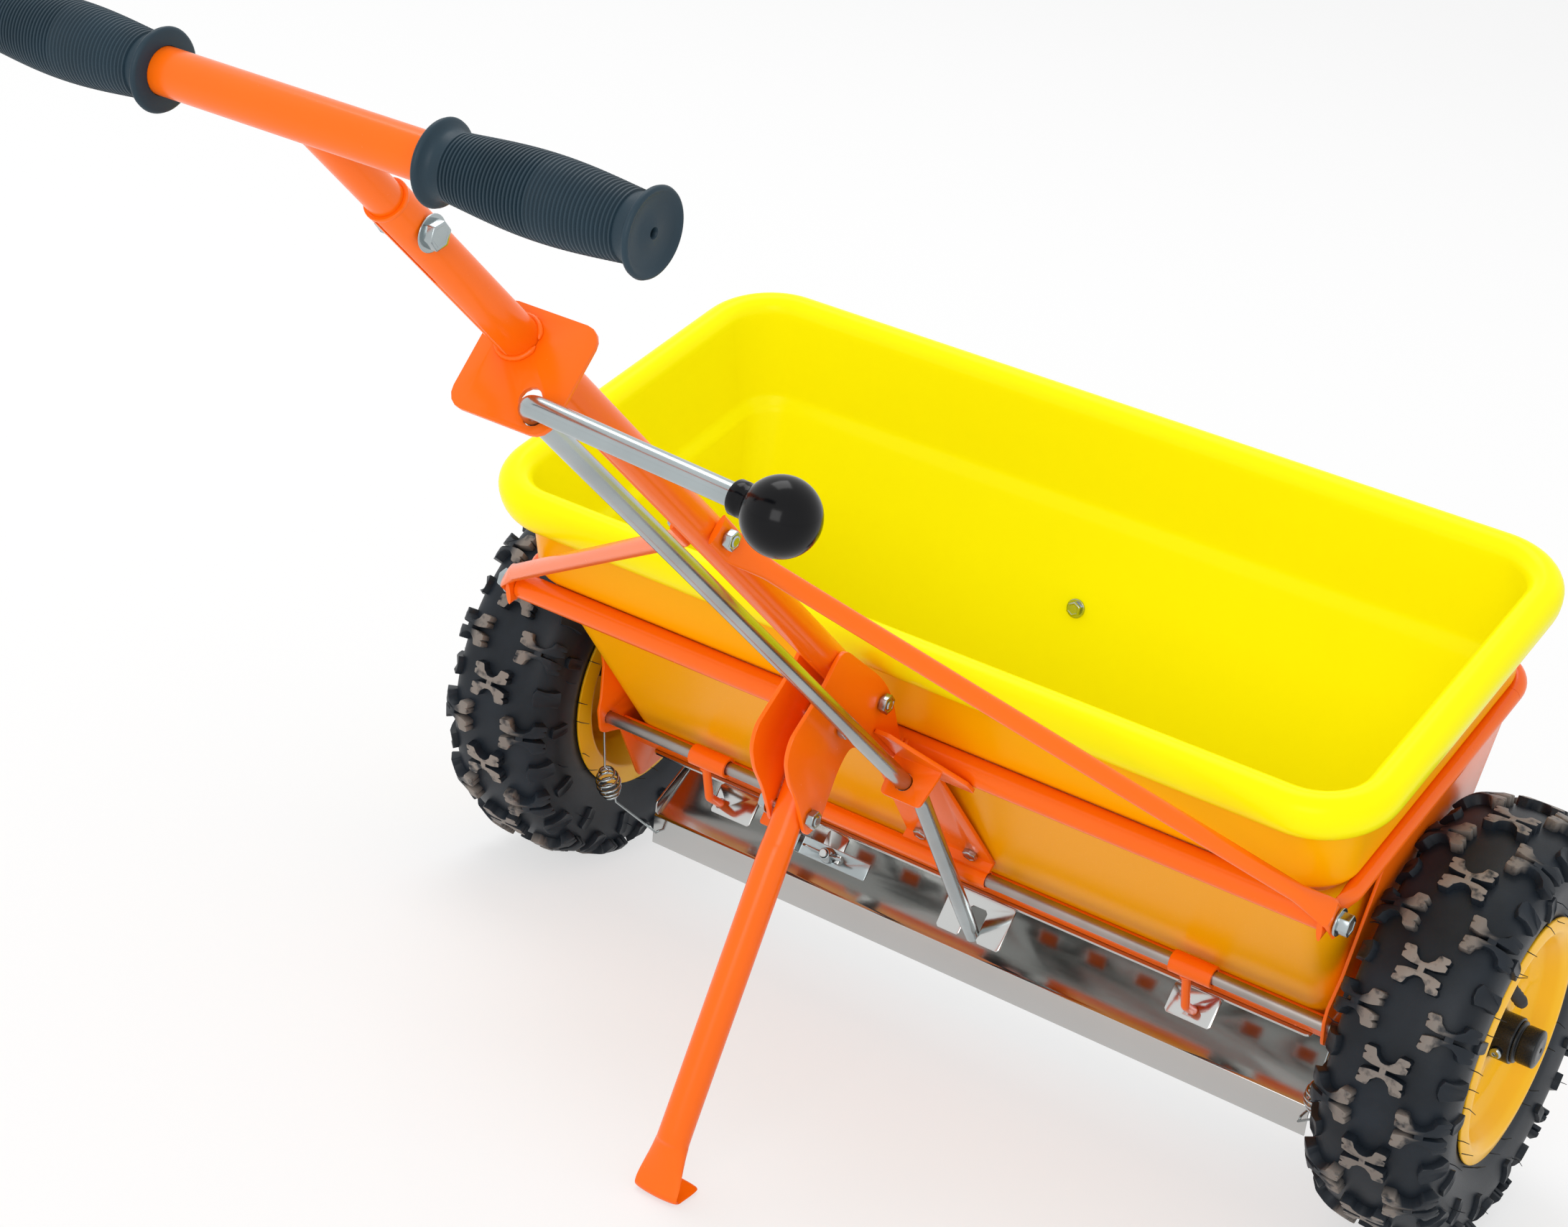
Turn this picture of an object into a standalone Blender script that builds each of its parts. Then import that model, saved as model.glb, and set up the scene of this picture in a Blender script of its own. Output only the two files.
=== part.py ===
"""Walk-behind drop spreader: hopper in a tube frame on two knobbly wheels, with a lever-worked shutter.

Lengths are in metres. Everything is laid out in the machine's own frame: +X is the operator's
right, +Y is forward and +Z is up, with the origin in the middle of the axle and the hopper's rim
level. The machine then leans back about the axle until its stand stands on the ground.
"""
import math

import bpy
import bmesh
from mathutils import Matrix, Vector

# Fits and shared sizes
gap = 0.0003
running_gap = 0.0004
sheet = 0.003
thin_sheet = 0.0025

# Wheels
tyre_radius = 0.155
tyre_half_width = 0.0445
tread_height = 0.0075
tread_pitches = 14
tyre_wall = 0.0055
tyre_bulge = 0.118
tyre_shoulder = 0.136
track_half = 0.362
rim_seat_radius = 0.076
rim_flange_radius = 0.0885
rim_half_width = 0.0395
rim_thickness = 0.0028
rim_dish_offset = 0.0235
rim_sides = 18
hub_radius = 0.0165
hub_outer = 0.0385
axle_overhang = 0.046
cap_radius = 0.0115
cap_length = 0.0165
screw_radius = 0.003
hub_screw_turn = math.radians(180)
valve_radius = 0.0045
valve_turn = math.radians(120)
tread_columns = 4
lug_waist = -0.10
lug_spread = 0.32
lug_outer = 0.0
side_lug_inner = 0.05
side_lug_outer = 0.20
lug_draw = 0.94

# Axle, bushes and agitator
axle_radius = 0.008
bush_radius = 0.012
bush_flange_radius = 0.017
bush_flange = 0.003
agitator_radius = 0.0125
agitator_reach = 0.0165
agitator_draw = 0.75
agitator_clear = 0.0156
bush_stand_in = 0.002
agitator_rows = 9
agitator_sides = 8

# Hopper
hopper_forward = 0.0055
hopper_wall = 0.0035
rim_top = 0.270
rim_roll = 0.0247
rim_roll_drop = 0.0200
shoulder_half_length = 0.3153
shoulder_half_width = 0.1425
shoulder_z = 0.184
shoulder_step = 0.007
upper_draft = 0.002
mouth_half_length = 0.2915
mouth_half_width = 0.0541
mouth_z = -0.0158
hopper_corner = 0.030
mouth_corner = 0.020

# Frame
crossbar_radius = 0.0095
crossbar_wall = 0.0016
rail_radius = 0.00635
rail_corner = 0.031
flat_half = 0.002
flat_half_height = 0.0095
side_plate_clear = 0.0007
side_plate_fold_z = 0.045
side_plate_thickness = 0.0025
gusset_top_half = 0.026
gusset_foot_half = 0.036
gusset_screw_x = 0.0205
gusset_standoff = 0.0012
gusset_screw_z = 0.0404
gusset_bend_z = 0.033
barrel_left = -0.112
barrel_radius = 0.0066
barrel_sides = 10
front_stay_x = -0.012
front_stay_half = 0.014
front_stay_bolt_z = 0.119
front_stay_rise = 0.034

# Handle
handle_angle = math.radians(54.4)
handle_foot_z = 0.2150
handle_axis_y = -0.1365
handle_axis_z = 0.177
handle_top_z = 0.759
tube_radius = 0.0111
tube_wall = 0.0016
stem_radius = 0.0092
stem_insert = 0.110
bar_z = 0.817
bar_half_length = 0.1872
bar_shift = -0.005
grip_length = 0.1127
grip_end_radius = 0.0145
grip_middle_radius = 0.0172
grip_flange_radius = 0.0205
grip_flange = 0.006
grip_cap = 0.0045
grip_rib_height = 0.0012
grip_ribs = 8
grip_sides = 10
handle_bolt_z = 0.236
clamp_bolt_z = 0.739
slit_depth = 0.060
slit_half = 0.0010
brace_bolt_z = 0.453
gate_plate_z = 0.6468
gate_plate_left = -0.0205
gate_plate_right = 0.0425
gate_plate_front = -0.0175
gate_plate_rear = 0.0440
gate_plate_corner = 0.010
ear_top_z = 0.302
ear_rear_reach = 0.058
ear_rear_rise = 0.011
ear_margin = 0.010

# Stand
leg_radius = 0.0108
leg_angle = math.radians(52.6)
stand_bolt_y = -0.2250
stand_bolt_z = 0.2460
stand_bolt_spacing = 0.0600
leg_reach = 0.3230
foot_length = 0.030
foot_half_width = 0.0165
foot_thickness = 0.004

# Lever, shutter and guide shaft
rod_radius = 0.006
rod_x = 0.030
rod_offset = 0.0336
rod_hole_along = 0.5545
rod_bend_along = 0.5885
rod_top_rise = 0.016
arm_length = 0.157
arm_angle = math.radians(2.9)
arm_bend = 0.014
crank_angle = math.radians(106.5)
crank_offset = 0.0432
crank_drop = 0.208
knob_radius = 0.0194
lever_open = 0.42
guide_y = -0.0803
guide_z = 0.024
guide_radius = 0.00475
guide_overhang = 0.0055
sleeve_radius = 0.008
sleeve_half_length = 0.016
sleeve_x = 0.2012
hook_radius = 0.0033
hook_shift = -0.0050
hook_bend_radius = 0.006
hook_end_reach = 0.006
shutter_shift = -0.0024
shutter_half_length = 0.2785
shutter_thickness = 0.002
shutter_rear = -0.0536
shutter_front = 0.058
slot_pitch = 0.0395
slot_count = 14
slot_length = 0.0150
slot_width = 0.012
slot_y = -0.020
tab_slope = math.radians(41.1)
bracket_x = 0.1942
bracket_half_length = 0.018
bracket_reach = 0.0230
hook_hole_reach = 0.0149
fork_gap = 0.0140
fork_tab = 0.0195
fork_reach = 0.0332
fork_slot_end = 0.0090
notch_length = 0.017
notch_low = 0.0095
notch_high = 0.0140
plate_flange_rise = 0.030
plate_bolt_x = -0.1285
plate_bolt_z = -0.0085

# Rate stop
stop_tab_x = -0.1075
stop_tab_half = 0.009
stop_tab_reach = 0.0250
stop_stud_reach = 0.0185
stop_strip_x = -0.1030
stop_strip_half = 0.030
stop_strip_width = 0.0135
stop_strip_thickness = 0.002
stop_strip_upturn = 0.009
stop_range = 0.0100
stop_stud_length = 0.014
stop_lug_half = 0.006
stop_lug_reach = 0.024
wing_half_span = 0.015
wing_height = 0.013
wing_boss_radius = 0.0062
wing_boss_height = 0.008

# Deflector tray and its springs
tray_half_length = 0.2820
tray_sheet = 0.0015
tray_front_y = 0.061
tray_front_z = -0.0410
tray_crease_y = -0.0545
tray_crease_z = -0.0825
tray_lip_y = -0.0590
tray_lip_z = -0.1060
tray_pin_y = 0.066
tray_pin_z = -0.0450
tray_pin_radius = 0.003
tray_lug_radius = 0.0075
tray_cheek_rise = 0.012
spring_wire = 0.0009
spring_radius = 0.0090
spring_end_radius = 0.0030
spring_turns = 6
spring_points = 8
spring_pitch = 0.0053
spring_drop = 0.0455

# Fasteners
bolt_radius = 0.004
bolt_flats = 0.013
bolt_head = 0.0070
bolt_washer = 0.0016
small_bolt_radius = 0.003
small_bolt_flats = 0.010
small_bolt_head = 0.004

# Worked out from the sizes above
ear_x = tube_radius + gap + sheet / 2
handle_down = Vector((0, math.cos(handle_angle), -math.sin(handle_angle)))
handle_back = Vector((0, -math.sin(handle_angle), -math.cos(handle_angle)))
side = Vector((1, 0, 0))


def on_handle(z, back=0.0, x=0.0):
    """The point of the handle's centre line at height z, moved back from the line and across by x."""
    along = (handle_axis_z - z) / handle_down.z
    foot = Vector((0, handle_axis_y, handle_axis_z))
    return foot - handle_down * along + handle_back * back + side * x


shoulder_slope = math.sqrt(0.5)
rear_wall_y = hopper_forward - shoulder_half_width
front_wall_y = hopper_forward + shoulder_half_width
crossbar_y = rear_wall_y - shoulder_slope * (crossbar_radius + gap)
crossbar_z = shoulder_z - shoulder_slope * (crossbar_radius + gap)
rail_x = shoulder_half_length + shoulder_slope * (rail_radius + gap)
rail_z = shoulder_z - shoulder_slope * (rail_radius + gap)
rail_front_y = front_wall_y + shoulder_slope * (rail_radius + gap)
lower_half_length = shoulder_half_length - shoulder_step / 2
lower_half_width = shoulder_half_width - shoulder_step / 2
lower_top_z = shoulder_z - shoulder_step / 2
wall_rise = lower_top_z - mouth_z
rear_slope = (lower_half_width - mouth_half_width) / wall_rise
end_slope = (lower_half_length - mouth_half_length) / wall_rise
crossbar_half = rail_x - rail_radius + 0.0012
rail_flat_x = crossbar_half + gap + flat_half
brace_flat_x = rail_flat_x + 2 * flat_half + gap
hole_point = on_handle(gate_plate_z, rod_offset, rod_x) + handle_down * rod_hole_along
rod_top = on_handle(gate_plate_z, rod_offset, rod_x) - handle_down * rod_top_rise
stand_down = Vector((0, -math.cos(leg_angle), -math.sin(leg_angle)))
stand_top = Vector((0, stand_bolt_y, stand_bolt_z))
leg_end = stand_top + stand_down * leg_reach
foot_drop = math.atan2(-leg_end.z, -leg_end.y)
park_angle = math.asin(tyre_radius / math.hypot(leg_end.y, leg_end.z)) - foot_drop
bar_centre = on_handle(bar_z, 0, bar_shift)
rear_extent = -(bar_centre.y * math.cos(park_angle) - bar_centre.z * math.sin(park_angle)) + grip_flange_radius
ground_shift = (rear_extent - tyre_radius) / 2
plate_z = mouth_z - gap
shutter_z = plate_z - thin_sheet - running_gap


def rear_wall(z):
    """The y of the hopper's outer rear wall at height z of its lower part."""
    return hopper_forward - mouth_half_width - rear_slope * (z - mouth_z)


def end_wall(z):
    """The x of the hopper's outer right end wall at height z of its lower part."""
    return mouth_half_length + end_slope * (z - mouth_z)


side_plate_x = end_wall(side_plate_fold_z) + side_plate_thickness / 2 + side_plate_clear
spring_x = side_plate_x
bush_end = end_wall(0) - hopper_wall - bush_stand_in
agitator_half_length = bush_end - agitator_clear
axle_end = track_half + axle_overhang


def clear_scene():
    for obj in list(bpy.data.objects):
        bpy.data.objects.remove(obj, do_unlink=True)


def material(name, colour, roughness, metallic=0.0):
    found = bpy.data.materials.get(name)
    if found:
        return found
    made = bpy.data.materials.new(name)
    made.use_nodes = True
    shader = made.node_tree.nodes["Principled BSDF"]
    shader.inputs["Base Color"].default_value = (*colour, 1.0)
    shader.inputs["Roughness"].default_value = roughness
    shader.inputs["Metallic"].default_value = metallic
    made.diffuse_color = (*colour, 1.0)
    return made


orange = ("orange paint", (0.90, 0.13, 0.01), 0.28, 0.0)
yellow = ("yellow plastic", (0.93, 0.62, 0.01), 0.38, 0.0)
rim_yellow = ("yellow rim paint", (0.90, 0.48, 0.01), 0.35, 0.0)
rubber = ("tyre rubber", (0.018, 0.020, 0.022), 0.70, 0.0)
grip_rubber = ("grip rubber", (0.018, 0.040, 0.062), 0.60, 0.0)
black = ("black plastic", (0.012, 0.012, 0.014), 0.18, 0.0)
zinc = ("zinc plate", (0.62, 0.64, 0.66), 0.25, 1.0)
steel = ("bare steel", (0.34, 0.34, 0.36), 0.38, 1.0)
stainless = ("stainless sheet", (0.66, 0.66, 0.67), 0.10, 1.0)
nylon = ("white nylon", (0.75, 0.74, 0.70), 0.45, 0.0)


def pivot(name, parent=None, place=(0, 0, 0), turn=None):
    """An empty that stands on a joint's axis and carries what moves there."""
    empty = bpy.data.objects.new(name, None)
    bpy.context.scene.collection.objects.link(empty)
    empty.empty_display_size = 0.03
    empty.parent = parent
    empty.matrix_local = Matrix.Translation(place) @ (turn or Matrix.Identity(3)).to_4x4()
    return empty


def add(name, bm, finish, parent, smooth=0.0):
    """Makes the mesh an object under its parent. Faces that meet under the smooth angle are shaded round."""
    bmesh.ops.remove_doubles(bm, verts=bm.verts, dist=1e-7)
    bmesh.ops.recalc_face_normals(bm, faces=bm.faces)
    mesh = bpy.data.meshes.new(name)
    bm.to_mesh(mesh)
    bm.free()
    obj = bpy.data.objects.new(name, mesh)
    bpy.context.scene.collection.objects.link(obj)
    obj.parent = parent
    mesh.materials.append(material(*finish))
    if smooth:
        mesh.shade_smooth()
        mesh.set_sharp_from_angle(angle=math.radians(smooth))
    return obj


def boolean(obj, other, operation):
    other.hide_render = True
    other.display_type = "WIRE"
    step = obj.modifiers.new(operation.title() + " " + other.name, "BOOLEAN")
    step.operation = operation
    step.solver = "EXACT"
    step.object = other
    return obj


def cut(obj, bm, name):
    """Takes the shape in bm out of the object."""
    cutter = add(name, bm, steel, obj.parent)
    return boolean(obj, cutter, "DIFFERENCE")


def loft(bm, rings, closed=False, caps=True):
    """Skins rings of equal count in their order. A closed loft joins its last ring to its first."""
    made = [[bm.verts.new(point) for point in ring] for ring in rings]
    count = len(made[0])
    rows = []
    for first, second in zip(made, made[1:] + (made[:1] if closed else [])):
        row = []
        for i in range(count):
            j = (i + 1) % count
            row.append(bm.faces.new((first[i], first[j], second[j], second[i])))
        rows.append(row)
    if caps and not closed:
        bm.faces.new(list(reversed(made[0])))
        bm.faces.new(made[-1])
    return rows


def ellipse(centre, across, up, count, turn=0.5):
    """A ring of points round the centre; across and up are its half axes."""
    step = 2 * math.pi / count
    angles = [(i + turn) * step for i in range(count)]
    return [centre + across * math.cos(a) + up * math.sin(a) for a in angles]


def basis(axis):
    """Two unit vectors square to the axis and to each other."""
    axis = axis.normalized()
    start = side if abs(axis.x) < 0.9 else Vector((0, 0, 1))
    across = (start - axis * start.dot(axis)).normalized()
    return across, axis.cross(across)


def turned(bm, profile, axis, origin, count=24, closed=False, turn=0.5):
    """Turns (distance along, radius) pairs about an axis from the origin."""
    axis = axis.normalized()
    across, up = basis(axis)
    rings = [ellipse(origin + axis * along, across * r, up * r, count, turn) for along, r in profile]
    return loft(bm, rings, closed)


def round_path(points, radius, steps=4):
    """The path with each inner corner made an arc of the given radius."""
    path = [Vector(points[0])]
    for before, corner, after in zip(points, points[1:], points[2:]):
        corner = Vector(corner)
        into = (corner - Vector(before)).normalized()
        out = (Vector(after) - corner).normalized()
        turn = into.angle(out)
        if turn < 1e-4:
            continue
        reach = radius * math.tan(turn / 2)
        centre = corner + (out - into).normalized() * (radius / math.cos(turn / 2))
        start = corner - into * reach - centre
        spin = into.cross(out).normalized()
        for k in range(steps + 1):
            path.append(centre + Matrix.Rotation(turn * k / steps, 3, spin) @ start)
    path.append(Vector(points[-1]))
    return path


def sections(path, sizes, count, up):
    """Rings square to the path. sizes holds the half width and half height at each of its points."""
    rings = []
    for i, point in enumerate(path):
        before = path[max(i - 1, 0)]
        after = path[min(i + 1, len(path) - 1)]
        into = (point - before).normalized() if i else (after - point).normalized()
        out = (after - point).normalized() if i < len(path) - 1 else into
        along = (into + out).normalized()
        up = (up - along * up.dot(along)).normalized()
        across = along.cross(up)
        width, height = sizes[i]
        rings.append(ellipse(point, across * width, up * height, count))
    return rings


def rod(bm, path, radius, count=12, bore=0.0, up=None):
    """A round bar along the path, or a tube with open ends where it has a bore."""
    up = up or basis(path[1] - path[0])[0]
    rings = sections(path, [(radius, radius)] * len(path), count, up)
    if not bore:
        return loft(bm, rings)
    inner = sections(path, [(bore, bore)] * len(path), count, up)
    return loft(bm, rings + inner[::-1], closed=True)


def corner_rectangle(left, right, low, high, radius, steps=4):
    """A rectangle's outline with round corners, counterclockwise."""
    points = []
    corners = [(right, high, 0), (left, high, 90), (left, low, 180), (right, low, 270)]
    for x, y, start in corners:
        cx = x - math.copysign(radius, x - (left + right) / 2)
        cy = y - math.copysign(radius, y - (low + high) / 2)
        for k in range(steps + 1):
            a = math.radians(start + 90 * k / steps)
            points.append((cx + radius * math.cos(a), cy + radius * math.sin(a)))
    return points


def around(radius, count, clearance=gap):
    """The corner radius of a many-sided hole that clears a round piece of the given radius."""
    return (radius + clearance) / math.cos(math.pi / count)


def circle(x, y, radius, count=8):
    return [(x + radius * math.cos(2 * math.pi * k / count), y + radius * math.sin(2 * math.pi * k / count))
            for k in range(count)]


def round_corners(points, radius, steps=3):
    """A closed outline with its corners made arcs of the given radius, less where a side is short."""
    result = []
    count = len(points)
    for i in range(count):
        corner = Vector(points[i])
        into = corner - Vector(points[i - 1])
        out = Vector(points[(i + 1) % count]) - corner
        turn = into.angle(out)
        reach = min(radius * math.tan(turn / 2), into.length * 0.45, out.length * 0.45)
        a = corner - into.normalized() * reach
        b = corner + out.normalized() * reach
        for k in range(steps + 1):
            t = k / steps
            result.append(tuple(a * (1 - t) ** 2 + corner * (2 * t * (1 - t)) + b * t ** 2))
    return result


def plate(bm, outline, thickness, place, holes=()):
    """A flat sheet from its outline and its holes. place turns (x, y, 0) into the machine's frame."""
    edges = []
    for loop in [outline, *holes]:
        verts = [bm.verts.new((x, y, -thickness / 2)) for x, y in loop]
        edges += [bm.edges.new((verts[i - 1], verts[i])) for i in range(len(verts))]
    filled = bmesh.ops.triangle_fill(bm, use_beauty=True, use_dissolve=False, edges=edges)
    faces = [item for item in filled["geom"] if isinstance(item, bmesh.types.BMFace)]
    raised = bmesh.ops.extrude_face_region(bm, geom=faces)
    verts = [item for item in raised["geom"] if isinstance(item, bmesh.types.BMVert)]
    bmesh.ops.translate(bm, verts=verts, vec=(0, 0, thickness))
    bmesh.ops.transform(bm, matrix=place, verts=bm.verts)


def placed(across, up, centre):
    """The matrix that stands a flat sheet's x along across and its y along up."""
    out = across.cross(up)
    turn = Matrix((across, up, out)).transposed().to_4x4()
    return Matrix.Translation(centre) @ turn


side_on = placed(Vector((0, 1, 0)), Vector((0, 0, 1)), Vector())


def folded_section(path, thickness):
    """The outline of a folded sheet whose middle follows the path of (y, z) points."""
    points = [Vector(p) for p in path]
    left, right = [], []
    for i, point in enumerate(points):
        into = (point - points[i - 1]).normalized() if i else (points[1] - point).normalized()
        out = (points[i + 1] - point).normalized() if i < len(points) - 1 else into
        along = (into + out).normalized()
        square = Vector((-along.y, along.x))
        reach = thickness / 2 / max(along.dot(into), 0.3)
        left.append(point + square * reach)
        right.append(point - square * reach)
    return left + right[::-1]


def folded(bm, path, thickness, halves, centre_x=0.0):
    """A sheet folded along X. halves gives its half length at each point of the path."""
    outline = folded_section(path, thickness)
    reach = list(halves) + list(halves)[::-1]
    rings = []
    for sign in (-1, 1):
        rings.append([Vector((centre_x + sign * h, p.x, p.y)) for p, h in zip(outline, reach)])
    loft(bm, rings)


def block(bm, low, high):
    made = bmesh.ops.create_cube(bm, size=1.0)
    size = Vector(high) - Vector(low)
    middle = (Vector(high) + Vector(low)) / 2
    bmesh.ops.scale(bm, vec=size, verts=made["verts"])
    bmesh.ops.translate(bm, vec=middle, verts=made["verts"])
    return made["verts"]


def hexagon(centre, across, up, flats):
    """The six corners of a hexagon."""
    reach = flats / 2 / math.cos(math.pi / 6)
    return ellipse(centre, across * reach, up * reach, 6, 0)


def bolt(bm, seat, axis, grip, radius, flats, head, nut=True, washer=0.0):
    """A hexagon bolt. seat is the middle of the face under its head and axis points to its nut."""
    axis = axis.normalized()
    across, up = basis(axis)
    washer_reach = flats * 0.72

    def round_ring(centre, r):
        return ellipse(centre, across * r, up * r, 6, 0)

    rings = [hexagon(seat - axis * (head + washer), across, up, flats),
             hexagon(seat - axis * washer, across, up, flats)]
    if washer:
        rings += [round_ring(seat - axis * washer, washer_reach), round_ring(seat, washer_reach)]
    rings.append(round_ring(seat, radius))
    end = seat + axis * grip
    if nut:
        end = end + axis * head
        rings += [round_ring(end - axis * head, radius), hexagon(end - axis * head, across, up, flats),
                  hexagon(end, across, up, flats)]
    else:
        rings.append(round_ring(end, radius))
    loft(bm, rings)


def hopper_ring(half_length, half_width, z, corner, steps=3):
    outline = corner_rectangle(-half_length, half_length, hopper_forward - half_width,
                               hopper_forward + half_width, corner, steps)
    return [Vector((x, y, z)) for x, y in outline]


def wall_rings(inset):
    """The wall's rings from the mouth up to the roll, moved inwards by inset."""
    step = shoulder_step / 2
    rows = [
        (mouth_half_length, mouth_half_width, mouth_z, mouth_corner),
        (lower_half_length, lower_half_width, lower_top_z, hopper_corner - step),
        (shoulder_half_length + step, shoulder_half_width + step, shoulder_z + step, hopper_corner + step),
    ]
    # The shoulder's middle third is straight, so a lift of its inner side keeps the wall even.
    lift = inset * 0.41
    rings = []
    for i, (length, width, z, corner) in enumerate(rows):
        rise = 0 if i == 0 else lift
        rings.append(hopper_ring(length - inset, width - inset, z + rise, max(corner - inset, 0.004)))
    return rings


def make_hopper(machine):
    """The moulded hopper: funnel, shoulder, drafted upper wall and rolled rim, as one shell."""
    bm = bmesh.new()
    top_length = shoulder_half_length + shoulder_step / 2 + upper_draft
    top_width = shoulder_half_width + shoulder_step / 2 + upper_draft
    top_corner = hopper_corner + shoulder_step / 2 + upper_draft
    roll = rim_roll / 2
    middle = roll - hopper_wall
    height = rim_top - roll

    def roll_ring(angle, reach, drop):
        a = math.radians(angle)
        out = middle + reach * math.cos(a)
        z = height + (reach if a > 0 else drop) * math.sin(a)
        return hopper_ring(top_length + out, top_width + out, z, top_corner + out)

    rings = wall_rings(0.0)
    under = roll - hopper_wall
    for angle in (180, 135, 90, 45, 0, -35, -68):
        rings.append(roll_ring(angle, under, rim_roll_drop - hopper_wall))
    for angle in (-70, -38, 0, 36, 72, 108, 144, 180):
        rings.append(roll_ring(angle, roll, rim_roll_drop))
    rings += wall_rings(hopper_wall)[::-1]
    loft(bm, rings, closed=True)
    hopper = add("hopper", bm, yellow, machine, smooth=40)
    holes = bmesh.new()
    for centre, axis in hopper_bolt_places():
        rod(holes, [centre - axis * 0.02, centre + axis * 0.02], small_bolt_radius + gap, 8)
    for sign in (-1, 1):
        middle = side * sign * end_wall(0)
        rod(holes, [middle - side * 0.02, middle + side * 0.02], bush_radius + gap, 16)
    return cut(hopper, holes, "hopper_holes")


front_normal = Vector((0, 1, -rear_slope)).normalized()
rear_normal = Vector((0, -1, -rear_slope)).normalized()


def gusset_mid(z):
    """The y of the middle of the gusset's sheet at height z, above its bend."""
    low = rear_wall(gusset_screw_z) - (gusset_standoff + sheet / 2) * math.hypot(1, rear_slope)
    high = crossbar_y + 0.0035
    share = (z - gusset_screw_z) / (crossbar_z - crossbar_radius - gap - gusset_screw_z)
    return low + (high - low) * share


gusset_out = Vector((0, -1, (gusset_mid(0.1) - gusset_mid(0.0)) / 0.1)).normalized()


def hopper_bolt_places():
    """Where bolts pass through the hopper: one in the front stay, two in the gusset."""
    y = 2 * hopper_forward - rear_wall(front_stay_bolt_z)
    places = [(Vector((front_stay_x, y, front_stay_bolt_z)), front_normal)]
    for sign in (-1, 1):
        x = sign * gusset_screw_x
        places.append((Vector((x, gusset_mid(gusset_screw_z), gusset_screw_z)), gusset_out))
    places.append((Vector((plate_bolt_x, rear_wall(plate_bolt_z), plate_bolt_z)), rear_normal))
    return places


def drop_slots(bm, low, high, shift=0.0):
    """The row of drop openings, as blocks from low to high."""
    for i in range(slot_count):
        x = (i - (slot_count - 1) / 2) * slot_pitch + shift
        block(bm, (x - slot_length / 2, slot_y - slot_width / 2, low),
              (x + slot_length / 2, slot_y + slot_width / 2, high))


def make_bottom_plate(machine):
    """The folded channel that closes the mouth, with its drop slots, notched rear edge and stop lug."""
    drop = plate_z - thin_sheet / 2
    out = (gap + thin_sheet / 2) * math.hypot(1, rear_slope)
    top = mouth_z + plate_flange_rise
    rear_low = rear_wall(drop) - out
    rear_top = rear_wall(top) - out
    forward = 2 * hopper_forward
    path = [(rear_top, top), (rear_low, drop), (forward - rear_low, drop), (forward - rear_top, top)]
    end = side_plate_x - side_plate_thickness / 2 - gap
    bm = bmesh.new()
    folded(bm, path, thin_sheet, [end] * 4)
    made = add("bottom_plate", bm, orange, machine)
    lug = bmesh.new()
    left = stop_strip_x - stop_strip_half - shutter_travel - stop_range - gap - 2 * stop_lug_half
    outline = corner_rectangle(left, left + 2 * stop_lug_half, 0.0025, stop_lug_reach, 0.002, 2)
    root = Vector((0, rear_low - 0.0005, drop + 0.0045))
    plate(lug, outline, thin_sheet, placed(side, tab_down, root))
    boolean(made, add("stop_lug", lug, orange, machine), "UNION")
    slots = bmesh.new()
    drop_slots(slots, drop - 0.01, drop + 0.01)
    made = cut(made, slots, "drop_slot_cutter")
    notches = bmesh.new()
    for i in range(slot_count):
        x = (i - (slot_count - 1) / 2 + 0.5) * slot_pitch
        block(notches, (x - notch_length / 2, rear_low - 0.012, mouth_z + notch_low),
              (x + notch_length / 2, rear_wall(mouth_z + notch_high) + gap / 2, mouth_z + notch_high))
    made = cut(made, notches, "notch_cutter")
    centre = Vector((plate_bolt_x, rear_wall(plate_bolt_z), plate_bolt_z))
    hole = bmesh.new()
    rod(hole, [centre - rear_normal * 0.02, centre + rear_normal * 0.02], small_bolt_radius + gap)
    bm = bmesh.new()
    seat = centre + rear_normal * (thin_sheet + 2 * gap)
    bolt(bm, seat, -rear_normal, thin_sheet + hopper_wall + gap, small_bolt_radius, small_bolt_flats,
         small_bolt_head, nut=False)
    add("plate_bolt", bm, zinc, machine)
    return cut(made, hole, "plate_bolt_hole")


def squashed_rod(bm, points, radius, flats, count=8):
    """A rod whose section at each point of its path is round or, where flats says so, squashed across X."""
    sizes = []
    for is_flat in flats:
        sizes.append((flat_half, flat_half_height) if is_flat else (radius, radius))
    rings = []
    for i, point in enumerate(points):
        before = points[max(i - 1, 0)]
        after = points[min(i + 1, len(points) - 1)]
        along = (after - before).normalized()
        if flats[i]:
            across = side
            up = along.cross(across).normalized()
        else:
            across = (side - along * side.dot(along))
            if across.length < 0.2:
                across = Vector((0, 0, 1)) - along * along.z
            across.normalize()
            up = along.cross(across).normalized()
        width, height = sizes[i]
        rings.append(ellipse(point, across * width, up * height, count))
    loft(bm, rings)


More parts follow.
